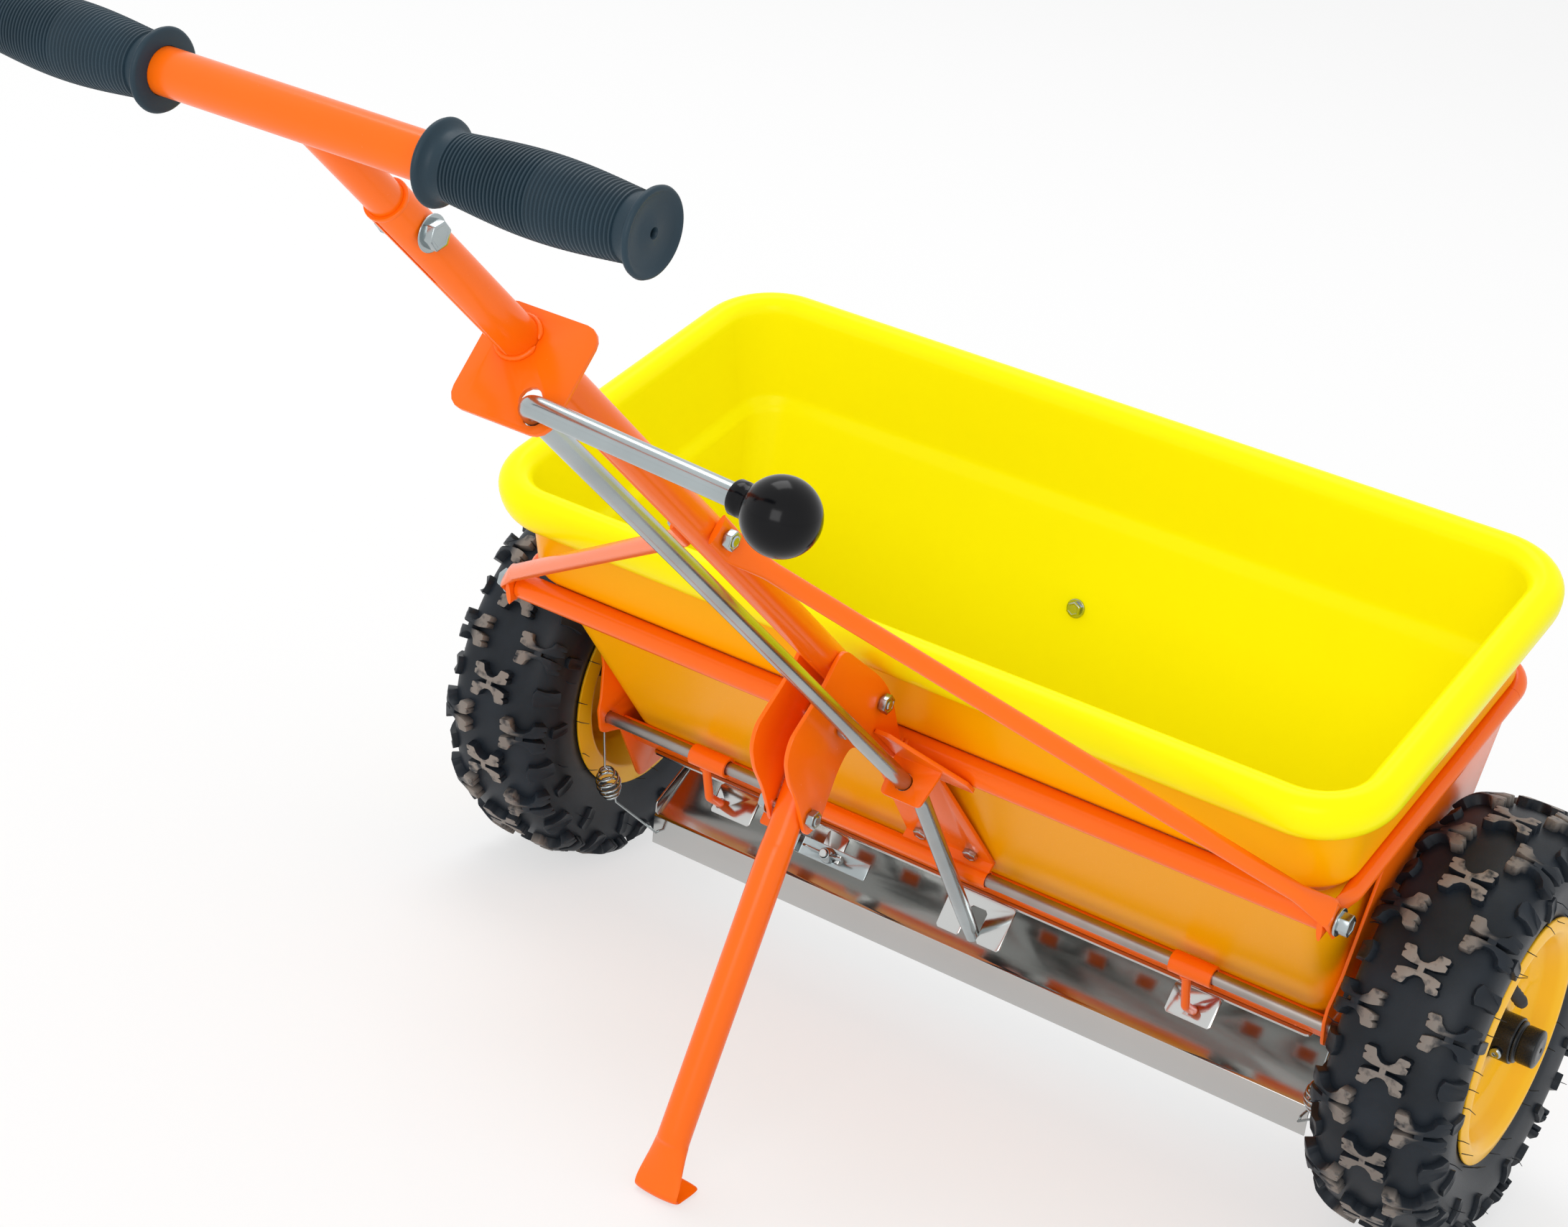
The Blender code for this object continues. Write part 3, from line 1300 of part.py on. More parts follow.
def spring_line(sign):
    """The wire's centre line: a leg up to the shaft's end, curls that swell and shrink, and a leg to the lip."""
    top = Vector((sign * spring_x, guide_y, guide_z - guide_radius - gap))
    top.x = sign * (side_plate_x + side_plate_thickness / 2 + guide_overhang / 2)
    coil_top = Vector((sign * spring_x, guide_y - 0.0075, guide_z - spring_drop))
    lip_way = Vector((0, tray_lip_z - tray_crease_z, tray_crease_y - tray_lip_y)).normalized()
    lip_middle = Vector((sign * (tray_half_length - 0.005), (tray_crease_y + tray_lip_y) / 2,
                         (tray_crease_z + tray_lip_z) / 2))
    hook = lip_middle + lip_way * (tray_sheet / 2 + gap)
    axis = Vector((0, 0.16, -1)).normalized()
    across, up = basis(axis)
    straight = 2 * spring_wire
    points = [top, top - Vector((0, 0, straight)), coil_top - axis * straight]
    total = spring_turns * spring_points
    for i in range(total + 1):
        t = i / total
        a = 2 * math.pi * i / spring_points
        r = spring_end_radius + (spring_radius - spring_end_radius) * math.sin(math.pi * t) ** 0.8
        centre = coil_top + axis * spring_pitch * i / spring_points
        points.append(centre + across * r * math.cos(a) + up * r * math.sin(a))
    points += [points[-1] + axis * 2 * straight, hook + lip_way * 1.5 * straight, hook]
    return points


def spring_self_gap(points):
    """The least distance between the wire's own stretches, less its thickness."""
    least = 1.0
    for i, point in enumerate(points):
        for other in points[i + 5:]:
            least = min(least, (point - other).length)
    return least - 2 * spring_wire


def make_springs(machine):
    for sign, name in ((-1, "left"), (1, "right")):
        points = spring_line(sign)
        print("tray_spring_%s: least gap to itself %.2f mm" % (name, spring_self_gap(points) * 1000))
        bm = bmesh.new()
        rod(bm, points, spring_wire, 6)
        add("tray_spring_" + name, bm, zinc, machine, smooth=60)


def make_axle(axle):
    """The axle, and the agitator that is pinned to it inside the hopper."""
    bm = bmesh.new()
    profile = [(-axle_end, axle_radius - 0.0015), (-axle_end + 0.0015, axle_radius),
               (axle_end - 0.0015, axle_radius), (axle_end, axle_radius - 0.0015)]
    turned(bm, profile, side, Vector(), 14)
    add("axle", bm, steel, axle, smooth=40)
    bm = bmesh.new()
    cells = agitator_rows * 2 + 1
    stations = [-agitator_half_length + 2 * agitator_half_length * i / cells for i in range(cells + 1)]
    profile = [(x, agitator_radius) for x in stations]
    bore = around(axle_radius, agitator_sides)
    profile += [(agitator_half_length, bore), (-agitator_half_length, bore)]
    rows = turned(bm, profile, side, Vector(), agitator_sides, closed=True)
    blades = []
    for i in range(1, cells, 2):
        start = i // 2
        blades += [rows[i][(start + half) % agitator_sides] for half in (0, agitator_sides // 2)]
    raised = bmesh.ops.extrude_discrete_faces(bm, faces=blades)
    for face in raised["faces"]:
        centre = face.calc_center_median()
        way = Vector((0, centre.y, centre.z)).normalized()
        for vert in face.verts:
            vert.co = centre + (vert.co - centre) * agitator_draw + way * (agitator_reach - agitator_radius)
    add("agitator", bm, steel, axle)


def make_axle_bushes(machine):
    """A flanged nylon bush in each side plate."""
    for sign, name in ((-1, "left"), (1, "right")):
        outer = side_plate_x + side_plate_thickness / 2 + gap
        bore = axle_radius + running_gap
        profile = [(bush_end, bore), (bush_end, bush_radius), (outer, bush_radius),
                   (outer, bush_flange_radius), (outer + bush_flange, bush_flange_radius), (outer + bush_flange, bore)]
        bm = bmesh.new()
        turned(bm, profile, side * sign, Vector(), 16, closed=True)
        add("axle_bush_" + name, bm, nylon, machine, smooth=40)


def rim_profile():
    """The rim's section as (distance out from the wheel's middle, radius): flanges, seats, well and dish."""
    t = rim_thickness
    seat = rim_seat_radius
    flange = rim_flange_radius
    half = rim_half_width
    well = seat - 0.012
    dish = rim_dish_offset
    hub = around(hub_radius, rim_sides)
    return [
        (half, flange), (half - t, flange), (half - t * 1.6, seat), (dish - 0.004, seat - 0.001),
        (0.010, well), (-0.012, well), (-half + t * 1.6, seat), (-half + t, flange), (-half, flange),
        (-half - 0.001, seat - t), (-0.014, well - t), (0.004, well - t), (dish - t - 0.003, 0.056),
        (dish - t, hub + 0.004), (dish - 0.014, hub + 0.0025), (dish - 0.014, hub),
        (dish, hub), (dish - 0.003, 0.058), (dish + 0.002, 0.068), (half - 0.003, seat - t),
        (half + 0.0015, seat + 0.003),
    ]


def tyre_section():
    """The tyre's half section from bead to crown as (distance out, radius), outside and inside."""
    crown = tyre_radius - tread_height
    h = tyre_half_width
    w = tyre_wall
    outside = [(rim_half_width - rim_thickness * 1.6 - gap, rim_seat_radius + 2 * gap),
               (rim_half_width - rim_thickness - gap, rim_flange_radius + gap),
               (h, tyre_bulge), (h - 0.005, tyre_shoulder),
               (h * 0.62, crown - 0.0020), (h * 0.30, crown - 0.0003)]
    inside = [(rim_half_width - rim_thickness * 1.6 - gap - w, rim_seat_radius + 0.0035),
              (h - w - 0.003, tyre_bulge - 0.006), (h - w - 0.005, tyre_shoulder - 0.006),
              (h * 0.50, crown - w)]
    return outside, inside


def make_tyre(parent, sign, name):
    """A knobbly tyre. The tread is drawn out of a turned carcass face by face.

    The air space inside has a quarter of the carcass's columns.
    """
    outside, inside = tyre_section()
    crown = tyre_radius - tread_height
    middle = side * sign * track_half
    profile = [(-a, r) for a, r in outside] + [(0.0, crown)] + [(a, r) for a, r in outside[::-1]]
    cavity = [(-a, r) for a, r in inside] + [(a, r) for a, r in inside[::-1]]
    bm = bmesh.new()
    rows = turned_open(bm, profile, side, middle, tread_columns * tread_pitches)
    hollow = turned_open(bm, cavity, side, middle, tread_pitches)
    for edge in (0, -1):
        join_rings(bm, rows[edge], hollow[edge])
    faces = [[face_of(rows[i], rows[i + 1], k) for k in range(len(rows[i]))] for i in range(len(rows) - 1)]
    centre = len(outside)
    for row in rows[2:-2]:
        for k, vert in enumerate(row):
            tread_sway(vert, k, abs(vert.co.x - middle.x), middle)
    lugs = []
    for pitch in range(tread_pitches):
        at = pitch * tread_columns
        other = at + 2
        lugs.append(([faces[centre - 1][at], faces[centre][at]], tread_height))
        for inner, outer in ((centre - 2, centre - 3), (centre + 1, centre + 2)):
            lugs.append(([faces[inner][other], faces[outer][other]], tread_height))
            lugs.append(([faces[outer][at]], tread_height * 0.6))
    for group, height in lugs:
        raise_lug(bm, group, height, middle.x)
    return add("tyre_" + name, bm, rubber, parent, smooth=35)


def turned_open(bm, profile, axis, origin, count):
    """The rings of points that a turned strip has, skinned but not closed. The first column starts at +Y."""
    across, up = basis(axis)
    rings = []
    for along, r in profile:
        points = ellipse(origin + axis * along, across * r, up * r, count, 0)
        rings.append([bm.verts.new(point) for point in points])
    for first, second in zip(rings, rings[1:]):
        for k in range(count):
            j = (k + 1) % count
            bm.faces.new((first[k], first[j], second[j], second[k]))
    return rings


def join_rings(bm, fine, coarse):
    """Closes the strip between two rings where the fine one has several points for each of the coarse."""
    share = len(fine) // len(coarse)
    for k, vert in enumerate(coarse):
        after = coarse[(k + 1) % len(coarse)]
        run = [fine[(k * share + i) % len(fine)] for i in range(share + 1)]
        bm.faces.new([*run, after, vert])


def face_of(first, second, k):
    """The face between two neighbouring rings at column k."""
    shared = set(first[k].link_faces) & set(first[(k + 1) % len(first)].link_faces) & set(second[k].link_faces)
    return shared.pop()


def tread_sway(vert, column, out, middle):
    """Widens the lugs' columns away from the tyre's middle, which gives the centre lugs their waists."""
    step = 2 * math.pi / (tread_pitches * tread_columns)
    place = column % tread_columns
    way = 1 if place in (1, 3) else -1
    waist = lug_waist if out < 0.002 else lug_spread if out < tyre_half_width * 0.5 else lug_outer
    if place in (2, 3):
        waist = -lug_waist if out < 0.002 else side_lug_inner if out < tyre_half_width * 0.5 else side_lug_outer
    turn = Matrix.Rotation(way * waist * step, 3, "X")
    vert.co = middle + turn @ (vert.co - middle)


def raise_lug(bm, faces, height, centre_x):
    """Lifts a group of faces off the carcass as one block and draws its top in a little."""
    raised = bmesh.ops.extrude_face_region(bm, geom=faces)
    tops = [item for item in raised["geom"] if isinstance(item, bmesh.types.BMVert)]
    bmesh.ops.delete(bm, geom=faces, context="FACES_KEEP_BOUNDARY")
    middle = sum((vert.co for vert in tops), Vector()) / len(tops)
    for vert in tops:
        lean = side * ((vert.co.x - centre_x) / tyre_half_width * 0.35)
        way = (Vector((0, vert.co.y, vert.co.z)).normalized() + lean).normalized()
        vert.co = middle + (vert.co - middle) * lug_draw + way * height
        far = math.hypot(vert.co.y, vert.co.z)
        if far > tyre_radius:
            vert.co.yz = vert.co.yz * (tyre_radius / far)


def make_inner_tube(parent, sign, name):
    """The soft air tube inside the tyre, with the valve stem that passes through the rim."""
    _, inside = tyre_section()
    clear = 0.0015
    half = [(inside[0][0] - 0.002, inside[0][1] + 0.002)]
    half += [(a - clear, r - clear) for a, r in inside[1:]]
    profile = [(-a, r) for a, r in half] + [(a, r) for a, r in half[::-1]]
    middle = side * sign * track_half
    bm = bmesh.new()
    turned(bm, profile, side, middle, tread_pitches, closed=True, turn=0)
    tube = add("inner_tube_" + name, bm, rubber, parent, smooth=40)
    foot, tip = valve_line(sign)
    stem = bmesh.new()
    rod(stem, [foot, tip], valve_radius, 10)
    return boolean(tube, add("valve_" + name, stem, rubber, parent), "UNION")


def valve_line(sign):
    """The valve stem's line from inside the tube, through the rim's well, to in front of the dish."""
    middle = side * sign * track_half
    way = Vector((0, math.cos(valve_turn), math.sin(valve_turn)))
    foot = middle + side * sign * (rim_dish_offset - 0.018) + way * (rim_seat_radius + 0.008)
    tip = middle + side * sign * (rim_dish_offset + 0.009) + way * 0.046
    return foot, tip


def make_wheel(parent, sign, name):
    """Rim, hub, tyre and inner tube of one wheel."""
    out = side * sign
    middle = out * track_half
    bm = bmesh.new()
    turned(bm, rim_profile(), out, middle, rim_sides, closed=True)
    rim = add("wheel_rim_" + name, bm, rim_yellow, parent, smooth=35)
    foot, tip = valve_line(sign)
    hole = bmesh.new()
    rod(hole, [foot, tip], valve_radius + gap, 12)
    cut(rim, hole, "valve_hole_" + name)
    make_tyre(parent, sign, name)
    make_inner_tube(parent, sign, name)
    start = side_plate_x + side_plate_thickness / 2 + gap + bush_flange + running_gap - track_half
    bore = axle_radius + gap
    back = rim_dish_offset - 0.014
    profile = [(start, bore), (start, axle_radius + 0.004), (back - 0.004, hub_radius - 0.002),
               (back - 0.002, hub_radius), (hub_outer, hub_radius), (hub_outer, hub_radius - 0.003)]
    end = axle_end - track_half
    cap = [(hub_outer, cap_radius + 0.0012), (hub_outer + 0.002, cap_radius),
           (hub_outer + cap_length - 0.002, cap_radius), (hub_outer + cap_length, cap_radius - 0.002)]
    if sign > 0:
        profile += cap + [(hub_outer + cap_length, 0.002), (end + gap, 0.002), (end + gap, bore)]
    else:
        profile.append((hub_outer, bore))
    bm = bmesh.new()
    turned(bm, profile, out, middle, 14, closed=True)
    hub = add("wheel_hub_" + name, bm, black, parent, smooth=40)
    if sign > 0:
        make_hub_screw(parent, hub, middle)
    else:
        make_hub_cap(bpy.data.objects["drive_axle_pivot"], middle, cap, end)
    return rim


def make_hub_screw(parent, hub, middle):
    """The screw that pins the right hub to the axle, with its hole."""
    at = middle + side * (hub_outer - 0.008)
    way = Vector((0, math.cos(hub_screw_turn), math.sin(hub_screw_turn)))
    hole = bmesh.new()
    rod(hole, [at, at + way * (hub_radius + 0.01)], screw_radius + gap, 10)
    cut(hub, hole, "hub_screw_hole")
    bm = bmesh.new()
    length = hub_radius - axle_radius - gap
    bolt(bm, at + way * (hub_radius + gap), -way, length, screw_radius, 0.0070, 0.0030, nut=False)
    add("hub_screw", bm, zinc, parent)


def make_hub_cap(parent, middle, cap, end):
    """The push-on cap that grips the axle's left end and keeps the free wheel on."""
    bore = axle_radius + gap
    face = hub_outer + running_gap
    profile = [(face, bore), (face, cap[0][1])] + cap[1:]
    profile += [(hub_outer + cap_length, 0.002), (end + gap, 0.002), (end + gap, bore)]
    bm = bmesh.new()
    turned(bm, profile, -side, middle, 14, closed=True)
    add("hub_cap_left", bm, black, parent, smooth=40)


def main():
    clear_scene()
    machine = pivot("machine", place=(0, ground_shift, tyre_radius), turn=Matrix.Rotation(park_angle, 3, "X"))
    make_hopper(machine)
    make_bottom_plate(machine)
    make_rails(machine)
    make_side_plates(machine)
    make_gusset(machine)
    make_centre_bracket(machine)
    make_front_stay(machine)
    make_handle(machine)
    make_gate_plate(machine)
    make_braces(machine)
    make_stand(machine)
    make_guide_shaft(machine)
    make_tray_pins(machine)
    make_axle_bushes(machine)
    make_springs(machine)

    axle = pivot("drive_axle_pivot", machine)
    make_axle(axle)
    make_wheel(axle, 1, "right")
    make_wheel(pivot("left_wheel_pivot", machine), -1, "left")

    turn = Matrix((side, handle_back, handle_down)).transposed()
    lever = pivot("lever_pivot", machine, rod_top, turn)
    make_lever(lever)
    slider = pivot("shutter_slide", machine, (shutter_shift, 0, 0))
    make_shutter(slider)
    seat = wing_nut_seat()
    stop = pivot("rate_stop_slide", slider, (seat.x, 0, 0))
    make_rate_stop(stop)
    nut_turn = Matrix((side, tab_out.cross(side), tab_out)).transposed()
    make_wing_nut(pivot("wing_nut_pivot", slider, seat, nut_turn))
    tray = pivot("tray_pivot", machine, (0, tray_pin_y, tray_pin_z))
    make_tray(tray)


main()
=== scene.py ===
import math

import bmesh
import bpy
from bpy.props import FloatProperty, FloatVectorProperty, IntProperty, PointerProperty
from mathutils import Matrix, Vector, noise


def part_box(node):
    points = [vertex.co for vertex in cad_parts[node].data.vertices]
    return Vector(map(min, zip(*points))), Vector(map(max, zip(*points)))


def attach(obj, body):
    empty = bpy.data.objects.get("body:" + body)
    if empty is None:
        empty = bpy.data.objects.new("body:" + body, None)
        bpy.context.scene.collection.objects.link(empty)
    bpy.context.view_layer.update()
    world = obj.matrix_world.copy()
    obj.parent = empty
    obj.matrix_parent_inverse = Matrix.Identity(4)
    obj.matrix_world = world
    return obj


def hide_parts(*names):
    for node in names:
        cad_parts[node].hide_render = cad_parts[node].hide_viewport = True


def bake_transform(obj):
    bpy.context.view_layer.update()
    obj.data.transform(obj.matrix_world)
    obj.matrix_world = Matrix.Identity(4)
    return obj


bl_info = {
    "name": "Drop spreader looks",
    "version": (1, 0, 0),
    "blender": (4, 5, 0),
    "location": "3D View > Sidebar > Spreader",
    "description": "Detailed pieces and finishes for a walk-behind drop spreader",
    "category": "Object",
}

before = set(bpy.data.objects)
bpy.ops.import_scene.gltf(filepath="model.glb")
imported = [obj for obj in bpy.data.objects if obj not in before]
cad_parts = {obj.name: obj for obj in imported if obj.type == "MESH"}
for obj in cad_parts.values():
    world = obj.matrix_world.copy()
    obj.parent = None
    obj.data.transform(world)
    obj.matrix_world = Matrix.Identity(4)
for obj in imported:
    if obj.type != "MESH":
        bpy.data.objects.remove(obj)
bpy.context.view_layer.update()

# The machine's frame has its rim level and the axle's middle as its origin. It is parked leaning back.
park_angle = math.radians(20.14474653208719)
level = Matrix.Translation((0, 0.3525919598547674, 0.155)) @ Matrix.Rotation(park_angle, 4, "X")
right = Vector((1, 0, 0))
up = Vector((0, 0, 1))
both_sides = ((-1, "left"), (1, "right"))
wheel_sides = ((-1, "left", "left_wheel"), (1, "right", "drive_axle"))

# A solid turned piece keeps a hair-thin open core, so that its section is a ring like a tube's.
core = 0.0001
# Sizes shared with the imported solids
gap = 0.0003
play = 0.0004
sheet = 0.003
thin_sheet = 0.0025
tyre_radius = 0.155
tyre_half_width = 0.0445
tread_height = 0.0075
tread_pitches = 14
track_half = 0.362
rim_seat = 0.076
rim_flange = 0.0885
rim_half_width = 0.0395
rim_wall = 0.0028
rim_dish = 0.0235
hub_radius = 0.0165
hub_outer = 0.0385
axle_radius = 0.008
axle_end = 0.408
bush_start = 0.2876
bush_radius = 0.012
bush_flange = 0.003
bush_flange_radius = 0.017
valve_radius = 0.0045
hopper_forward = 0.0055
hopper_wall = 0.0035
rim_top = 0.270
rim_roll = 0.0247
rim_roll_drop = 0.0200
shoulder_half_length = 0.3153
shoulder_half_width = 0.1425
shoulder_z = 0.184
shoulder_step = 0.007
shoulder_corner = 0.030
hopper_flare = 0.002
mouth_half_length = 0.2915
mouth_half_width = 0.0541
mouth_z = -0.0158
mouth_corner = 0.020
crossbar_radius = 0.0095
rail_radius = 0.00635
rail_corner = 0.031
flat_half = 0.002
flat_half_height = 0.0095
side_plate_x = 0.29979
tube_radius = 0.0111
tube_wall = 0.0016
stem_radius = 0.0092
handle_line_y = -0.1365
handle_line_z = 0.177
handle_angle = math.radians(54.4)
handle_foot_z = 0.2150
handle_top_z = 0.759
bar_z = 0.817
bar_half_length = 0.1872
bar_shift = -0.005
grip_length = 0.1127
brace_bolt_z = 0.453
clamp_bolt_z = 0.739
handle_bolt_z = 0.236
ear_top_z = 0.302
gate_plate_z = 0.6468
leg_radius = 0.0108
leg_angle = math.radians(52.6)
leg_reach = 0.3230
foot_length = 0.030
foot_half_width = 0.0165
foot_thickness = 0.004
stand_bolt_step = 0.0600
rod_radius = 0.006
rod_x = 0.030
rod_offset = 0.0336
rod_bend_along = 0.5885
rod_top_rise = 0.016
arm_length = 0.157
arm_angle = math.radians(2.9)
arm_bend = 0.014
crank_angle = math.radians(106.5)
crank_offset = 0.0432
crank_drop = 0.208
knob_radius = 0.0194
guide_y = -0.0803
guide_z = 0.024
guide_radius = 0.00475
guide_overhang = 0.0055
sleeve_radius = 0.008
sleeve_half_length = 0.016
sleeve_x = 0.2012
hook_radius = 0.0033
shutter_shift = -0.0024
shutter_rear = -0.0536
shutter_sheet = 0.002
shutter_z = mouth_z - gap - thin_sheet - play
tab_slope = math.radians(41.1)
stop_tab_x = -0.1075
stop_stud_reach = 0.0185
stop_sheet = 0.002
tray_half_length = 0.2820
tray_pin_y = 0.066
tray_pin_z = -0.0450
tray_lip = Vector((0, -0.0235, 0.0045)).normalized()
tray_hook = Vector((tray_half_length - 0.005, -0.05675, -0.09425))
spring_wire = 0.0009
spring_turns = 6
spring_pitch = 0.0053
spring_end_radius = 0.0030
spring_swell = 0.0060
small_bolt = 0.003
small_flats = 0.010
small_head = 0.004

# Sizes of what only the picture shows
lug_wide_row = 0.0300
lug_shoulder_row = 0.0440
lug_side_row = 0.0610
worn_half_width = 0.027
worn_fade = 0.004
worn_height = 0.0068
hair_rows = (0.0925, 0.060)
crease_start = 0.024
crease_end = 0.068
crease_rise = 0.0021
valve_angle = math.radians(102)
valve_tip_out = 0.0175
valve_tip_radius = 0.042

# The photograph's camera, fitted in the machine's frame. Its picture sizes are in pixels.
picture_width = 2183
picture_height = 1708
picture_focus = 4092.4
picture_centre = (1184.2, 848.8)
camera_place = (0.83728, -1.40259, 1.38519)
camera_right = Vector((0.82718, 0.56182, -0.01151))
camera_down = Vector((0.32352, -0.49289, -0.80771))
camera_forward = Vector((-0.45946, 0.6644, -0.58947))
key_place = (-2.2, 1.6, 6.6)
key_size = 3.6
fill_place = (1.6, -6.0, 2.4)
fill_size = 3.0
lamp_target = Vector((0, 0, 0.3))
floor_half = 30.0
floor_veil = 0.62

# Places worked out from the sizes
slant = math.sqrt(0.5)
handle_down = Vector((0, math.cos(handle_angle), -math.sin(handle_angle)))
handle_back = Vector((0, -math.sin(handle_angle), -math.cos(handle_angle)))
crossbar_y = hopper_forward - shoulder_half_width - slant * (crossbar_radius + gap)
crossbar_z = shoulder_z - slant * (crossbar_radius + gap)
crossbar = Vector((0, crossbar_y, crossbar_z))
rail_x = shoulder_half_length + slant * (rail_radius + gap)
rail_z = shoulder_z - slant * (rail_radius + gap)
rail_front_y = hopper_forward + shoulder_half_width + slant * (rail_radius + gap)
rear_slope = (shoulder_half_width - shoulder_step / 2 - mouth_half_width) / (shoulder_z - shoulder_step / 2 - mouth_z)
crossbar_half = rail_x - rail_radius + 0.0012
rail_flat_x = crossbar_half + gap + flat_half
brace_flat_x = rail_flat_x + 2 * flat_half + gap
plate_face = side_plate_x + thin_sheet / 2
stand_down = Vector((0, -math.cos(leg_angle), -math.sin(leg_angle)))
stand_top = Vector((0, -0.2250, 0.2460))
stand_low = stand_top + stand_down * stand_bolt_step
leg_end = stand_top + stand_down * leg_reach
tab_down = Vector((0, -math.cos(tab_slope), -math.sin(tab_slope)))
tab_out = Vector((0, -math.sin(tab_slope), math.cos(tab_slope)))
plate_edge = Vector((0, shutter_rear, shutter_z - shutter_sheet / 2))
dish_back = rim_dish - 0.014
crown = tyre_radius - tread_height
tread_line = crown + 0.003


def on_handle(z, back=0.0, x=0.0):
    """The point of the handle's centre line at height z, moved back from it and across."""
    along = (handle_line_z - z) / handle_down.z
    return Vector((x, handle_line_y, handle_line_z)) - handle_down * along + handle_back * back


def on_tab(x, reach, out=0.0):
    """A point of the shutter's sloping tabs, reach down from the plate's rear edge."""
    return plate_edge + right * x + tab_down * reach + tab_out * out


def rear_wall(z):
    """The y of the hopper's rear wall, outside, at height z."""
    return hopper_forward - mouth_half_width - rear_slope * (z - mouth_z)


bar_centre = on_handle(bar_z, 0, bar_shift)
rod_top = on_handle(gate_plate_z, rod_offset, rod_x) - handle_down * rod_top_rise


class FinishSettings(bpy.types.PropertyGroup):
    orange: FloatVectorProperty(name="Paint", description="The frame's paint", subtype="COLOR", size=3,
                                min=0, max=1, default=(1.0, 0.155, 0.002))
    # Painted light: the plastic's yellow as its lit inside looks, brighter than the plastic itself.
    inside: FloatVectorProperty(name="Hopper inside", description="The moulding's lit yellow", subtype="COLOR",
                                size=3, min=0, max=1, default=(1.0, 0.92, 0.003))
    # Painted shade: the same yellow plastic painted amber, as its outer walls look in shade.
    painted_shade: FloatVectorProperty(name="Hopper outside", description="The moulding's amber walls",
                                 subtype="COLOR", size=3, min=0, max=1, default=(1.0, 0.42, 0.000))
    rim: FloatVectorProperty(name="Rim", description="The wheel rims' paint", subtype="COLOR", size=3,
                             min=0, max=1, default=(1.0, 0.53, 0.004))
    rubber: FloatVectorProperty(name="Tyre", description="The tyres' rubber", subtype="COLOR", size=3,
                                min=0, max=1, default=(0.012, 0.017, 0.024))
    grip: FloatVectorProperty(name="Grips", description="The grips' rubber", subtype="COLOR", size=3,
                              min=0, max=1, default=(0.016, 0.038, 0.056))


class WheelSettings(bpy.types.PropertyGroup):
    whiskers: IntProperty(name="Whiskers", description="Moulding hairs on each sidewall", default=34, min=0)
    creases: IntProperty(name="Rim ribs", description="Pressed ribs in each rim's disc", default=6, min=0)


class GripSettings(bpy.types.PropertyGroup):
    ribs: IntProperty(name="Ribs", description="Fine ribs along each grip", default=44, min=4)
    rib_height: FloatProperty(name="Rib height", description="How far a rib stands out", default=0.0009,
                              unit="LENGTH", precision=5)


class StageSettings(bpy.types.PropertyGroup):
    key: FloatProperty(name="Key lamp", description="The large lamp overhead", default=125.0, unit="POWER")
    fill: FloatProperty(name="Fill lamp", description="The soft lamp behind the camera", default=95.0,
                        unit="POWER")
    sky: FloatProperty(name="Sky", description="Strength of the light from all round", default=0.86)
    floor: FloatVectorProperty(name="Floor", description="The floor's colour", subtype="COLOR", size=3,
                               min=0, max=1, default=(0.88, 0.88, 0.88))


# Shapes

def stations(points, across=None):
    """A frame at each point of a path, its Z along the path and its X turned as little as can be."""
    points = [Vector(p) for p in points]
    made = []
    x = across
    for i, point in enumerate(points):
        into = (point - points[i - 1]).normalized() if i else (points[1] - point).normalized()
        out = (points[i + 1] - point).normalized() if i < len(points) - 1 else into
        along = (into + out).normalized()
        if x is None:
            x = right if abs(along.x) < 0.9 else up
        x = (x - along * x.dot(along)).normalized()
        made.append(Matrix.Translation(point) @ Matrix((x, along.cross(x), along)).transposed().to_4x4())
    return made


def of_kind(items, kind):
    """The vertices, edges or faces among bmesh items."""
    return [item for item in items if isinstance(item, kind)]


def sweep(bm, points, sizes, sides, across=None):
    """Draws a round or oval bar along the points. sizes is a radius, or two half axes at each point."""
    if isinstance(sizes, float):
        sizes = [(sizes, sizes)] * len(points)
    places = [place @ Matrix.Diagonal((*size, 1, 1)) for place, size in zip(stations(points, across), sizes)]
    ring = bmesh.ops.create_circle(bm, segments=sides, radius=1.0, cap_ends=True, matrix=places[0])["verts"]
    edges = list({edge for vert in ring for edge in vert.link_edges})
    for before, after in zip(places, places[1:]):
        grown = bmesh.ops.extrude_edge_only(bm, edges=edges)["geom"]
        ring = of_kind(grown, bmesh.types.BMVert)
        edges = [edge for edge in of_kind(grown, bmesh.types.BMEdge) if all(vert in ring for vert in edge.verts)]
        bmesh.ops.transform(bm, matrix=after @ before.inverted(), verts=ring)
    bmesh.ops.edgeloop_fill(bm, edges=edges)


def toward(axis, origin):
    """The frame at the origin whose Z is the axis."""
    return stations([origin, Vector(origin) + Vector(axis)])[0]


def lathe(bm, profile, axis, origin, steps):
    """Spins a ring's section, given as (distance along, radius) points, about an axis."""
    place = toward(axis, origin)
    verts = [bm.verts.new(place @ Vector((radius, 0, along))) for along, radius in profile]
    edges = [bm.edges.new(pair) for pair in zip(verts, verts[1:] + verts[:1])]
    bmesh.ops.spin(bm, geom=verts + edges, cent=origin, axis=axis, dvec=(0, 0, 0), angle=2 * math.pi,
                   steps=steps, use_merge=True, use_duplicate=False)


def pipe(start, end, bore, radius):
    """The section of a plain tube."""
    return [(start, bore), (start, radius), (end, radius), (end, bore)]


def rounded(first, corner, last, steps):
    """Points of the curve that leaves first and meets last in place of the corner."""
    shares = [k / steps for k in range(steps + 1)]
    return [first * (1 - t) ** 2 + corner * 2 * t * (1 - t) + last * t ** 2 for t in shares]


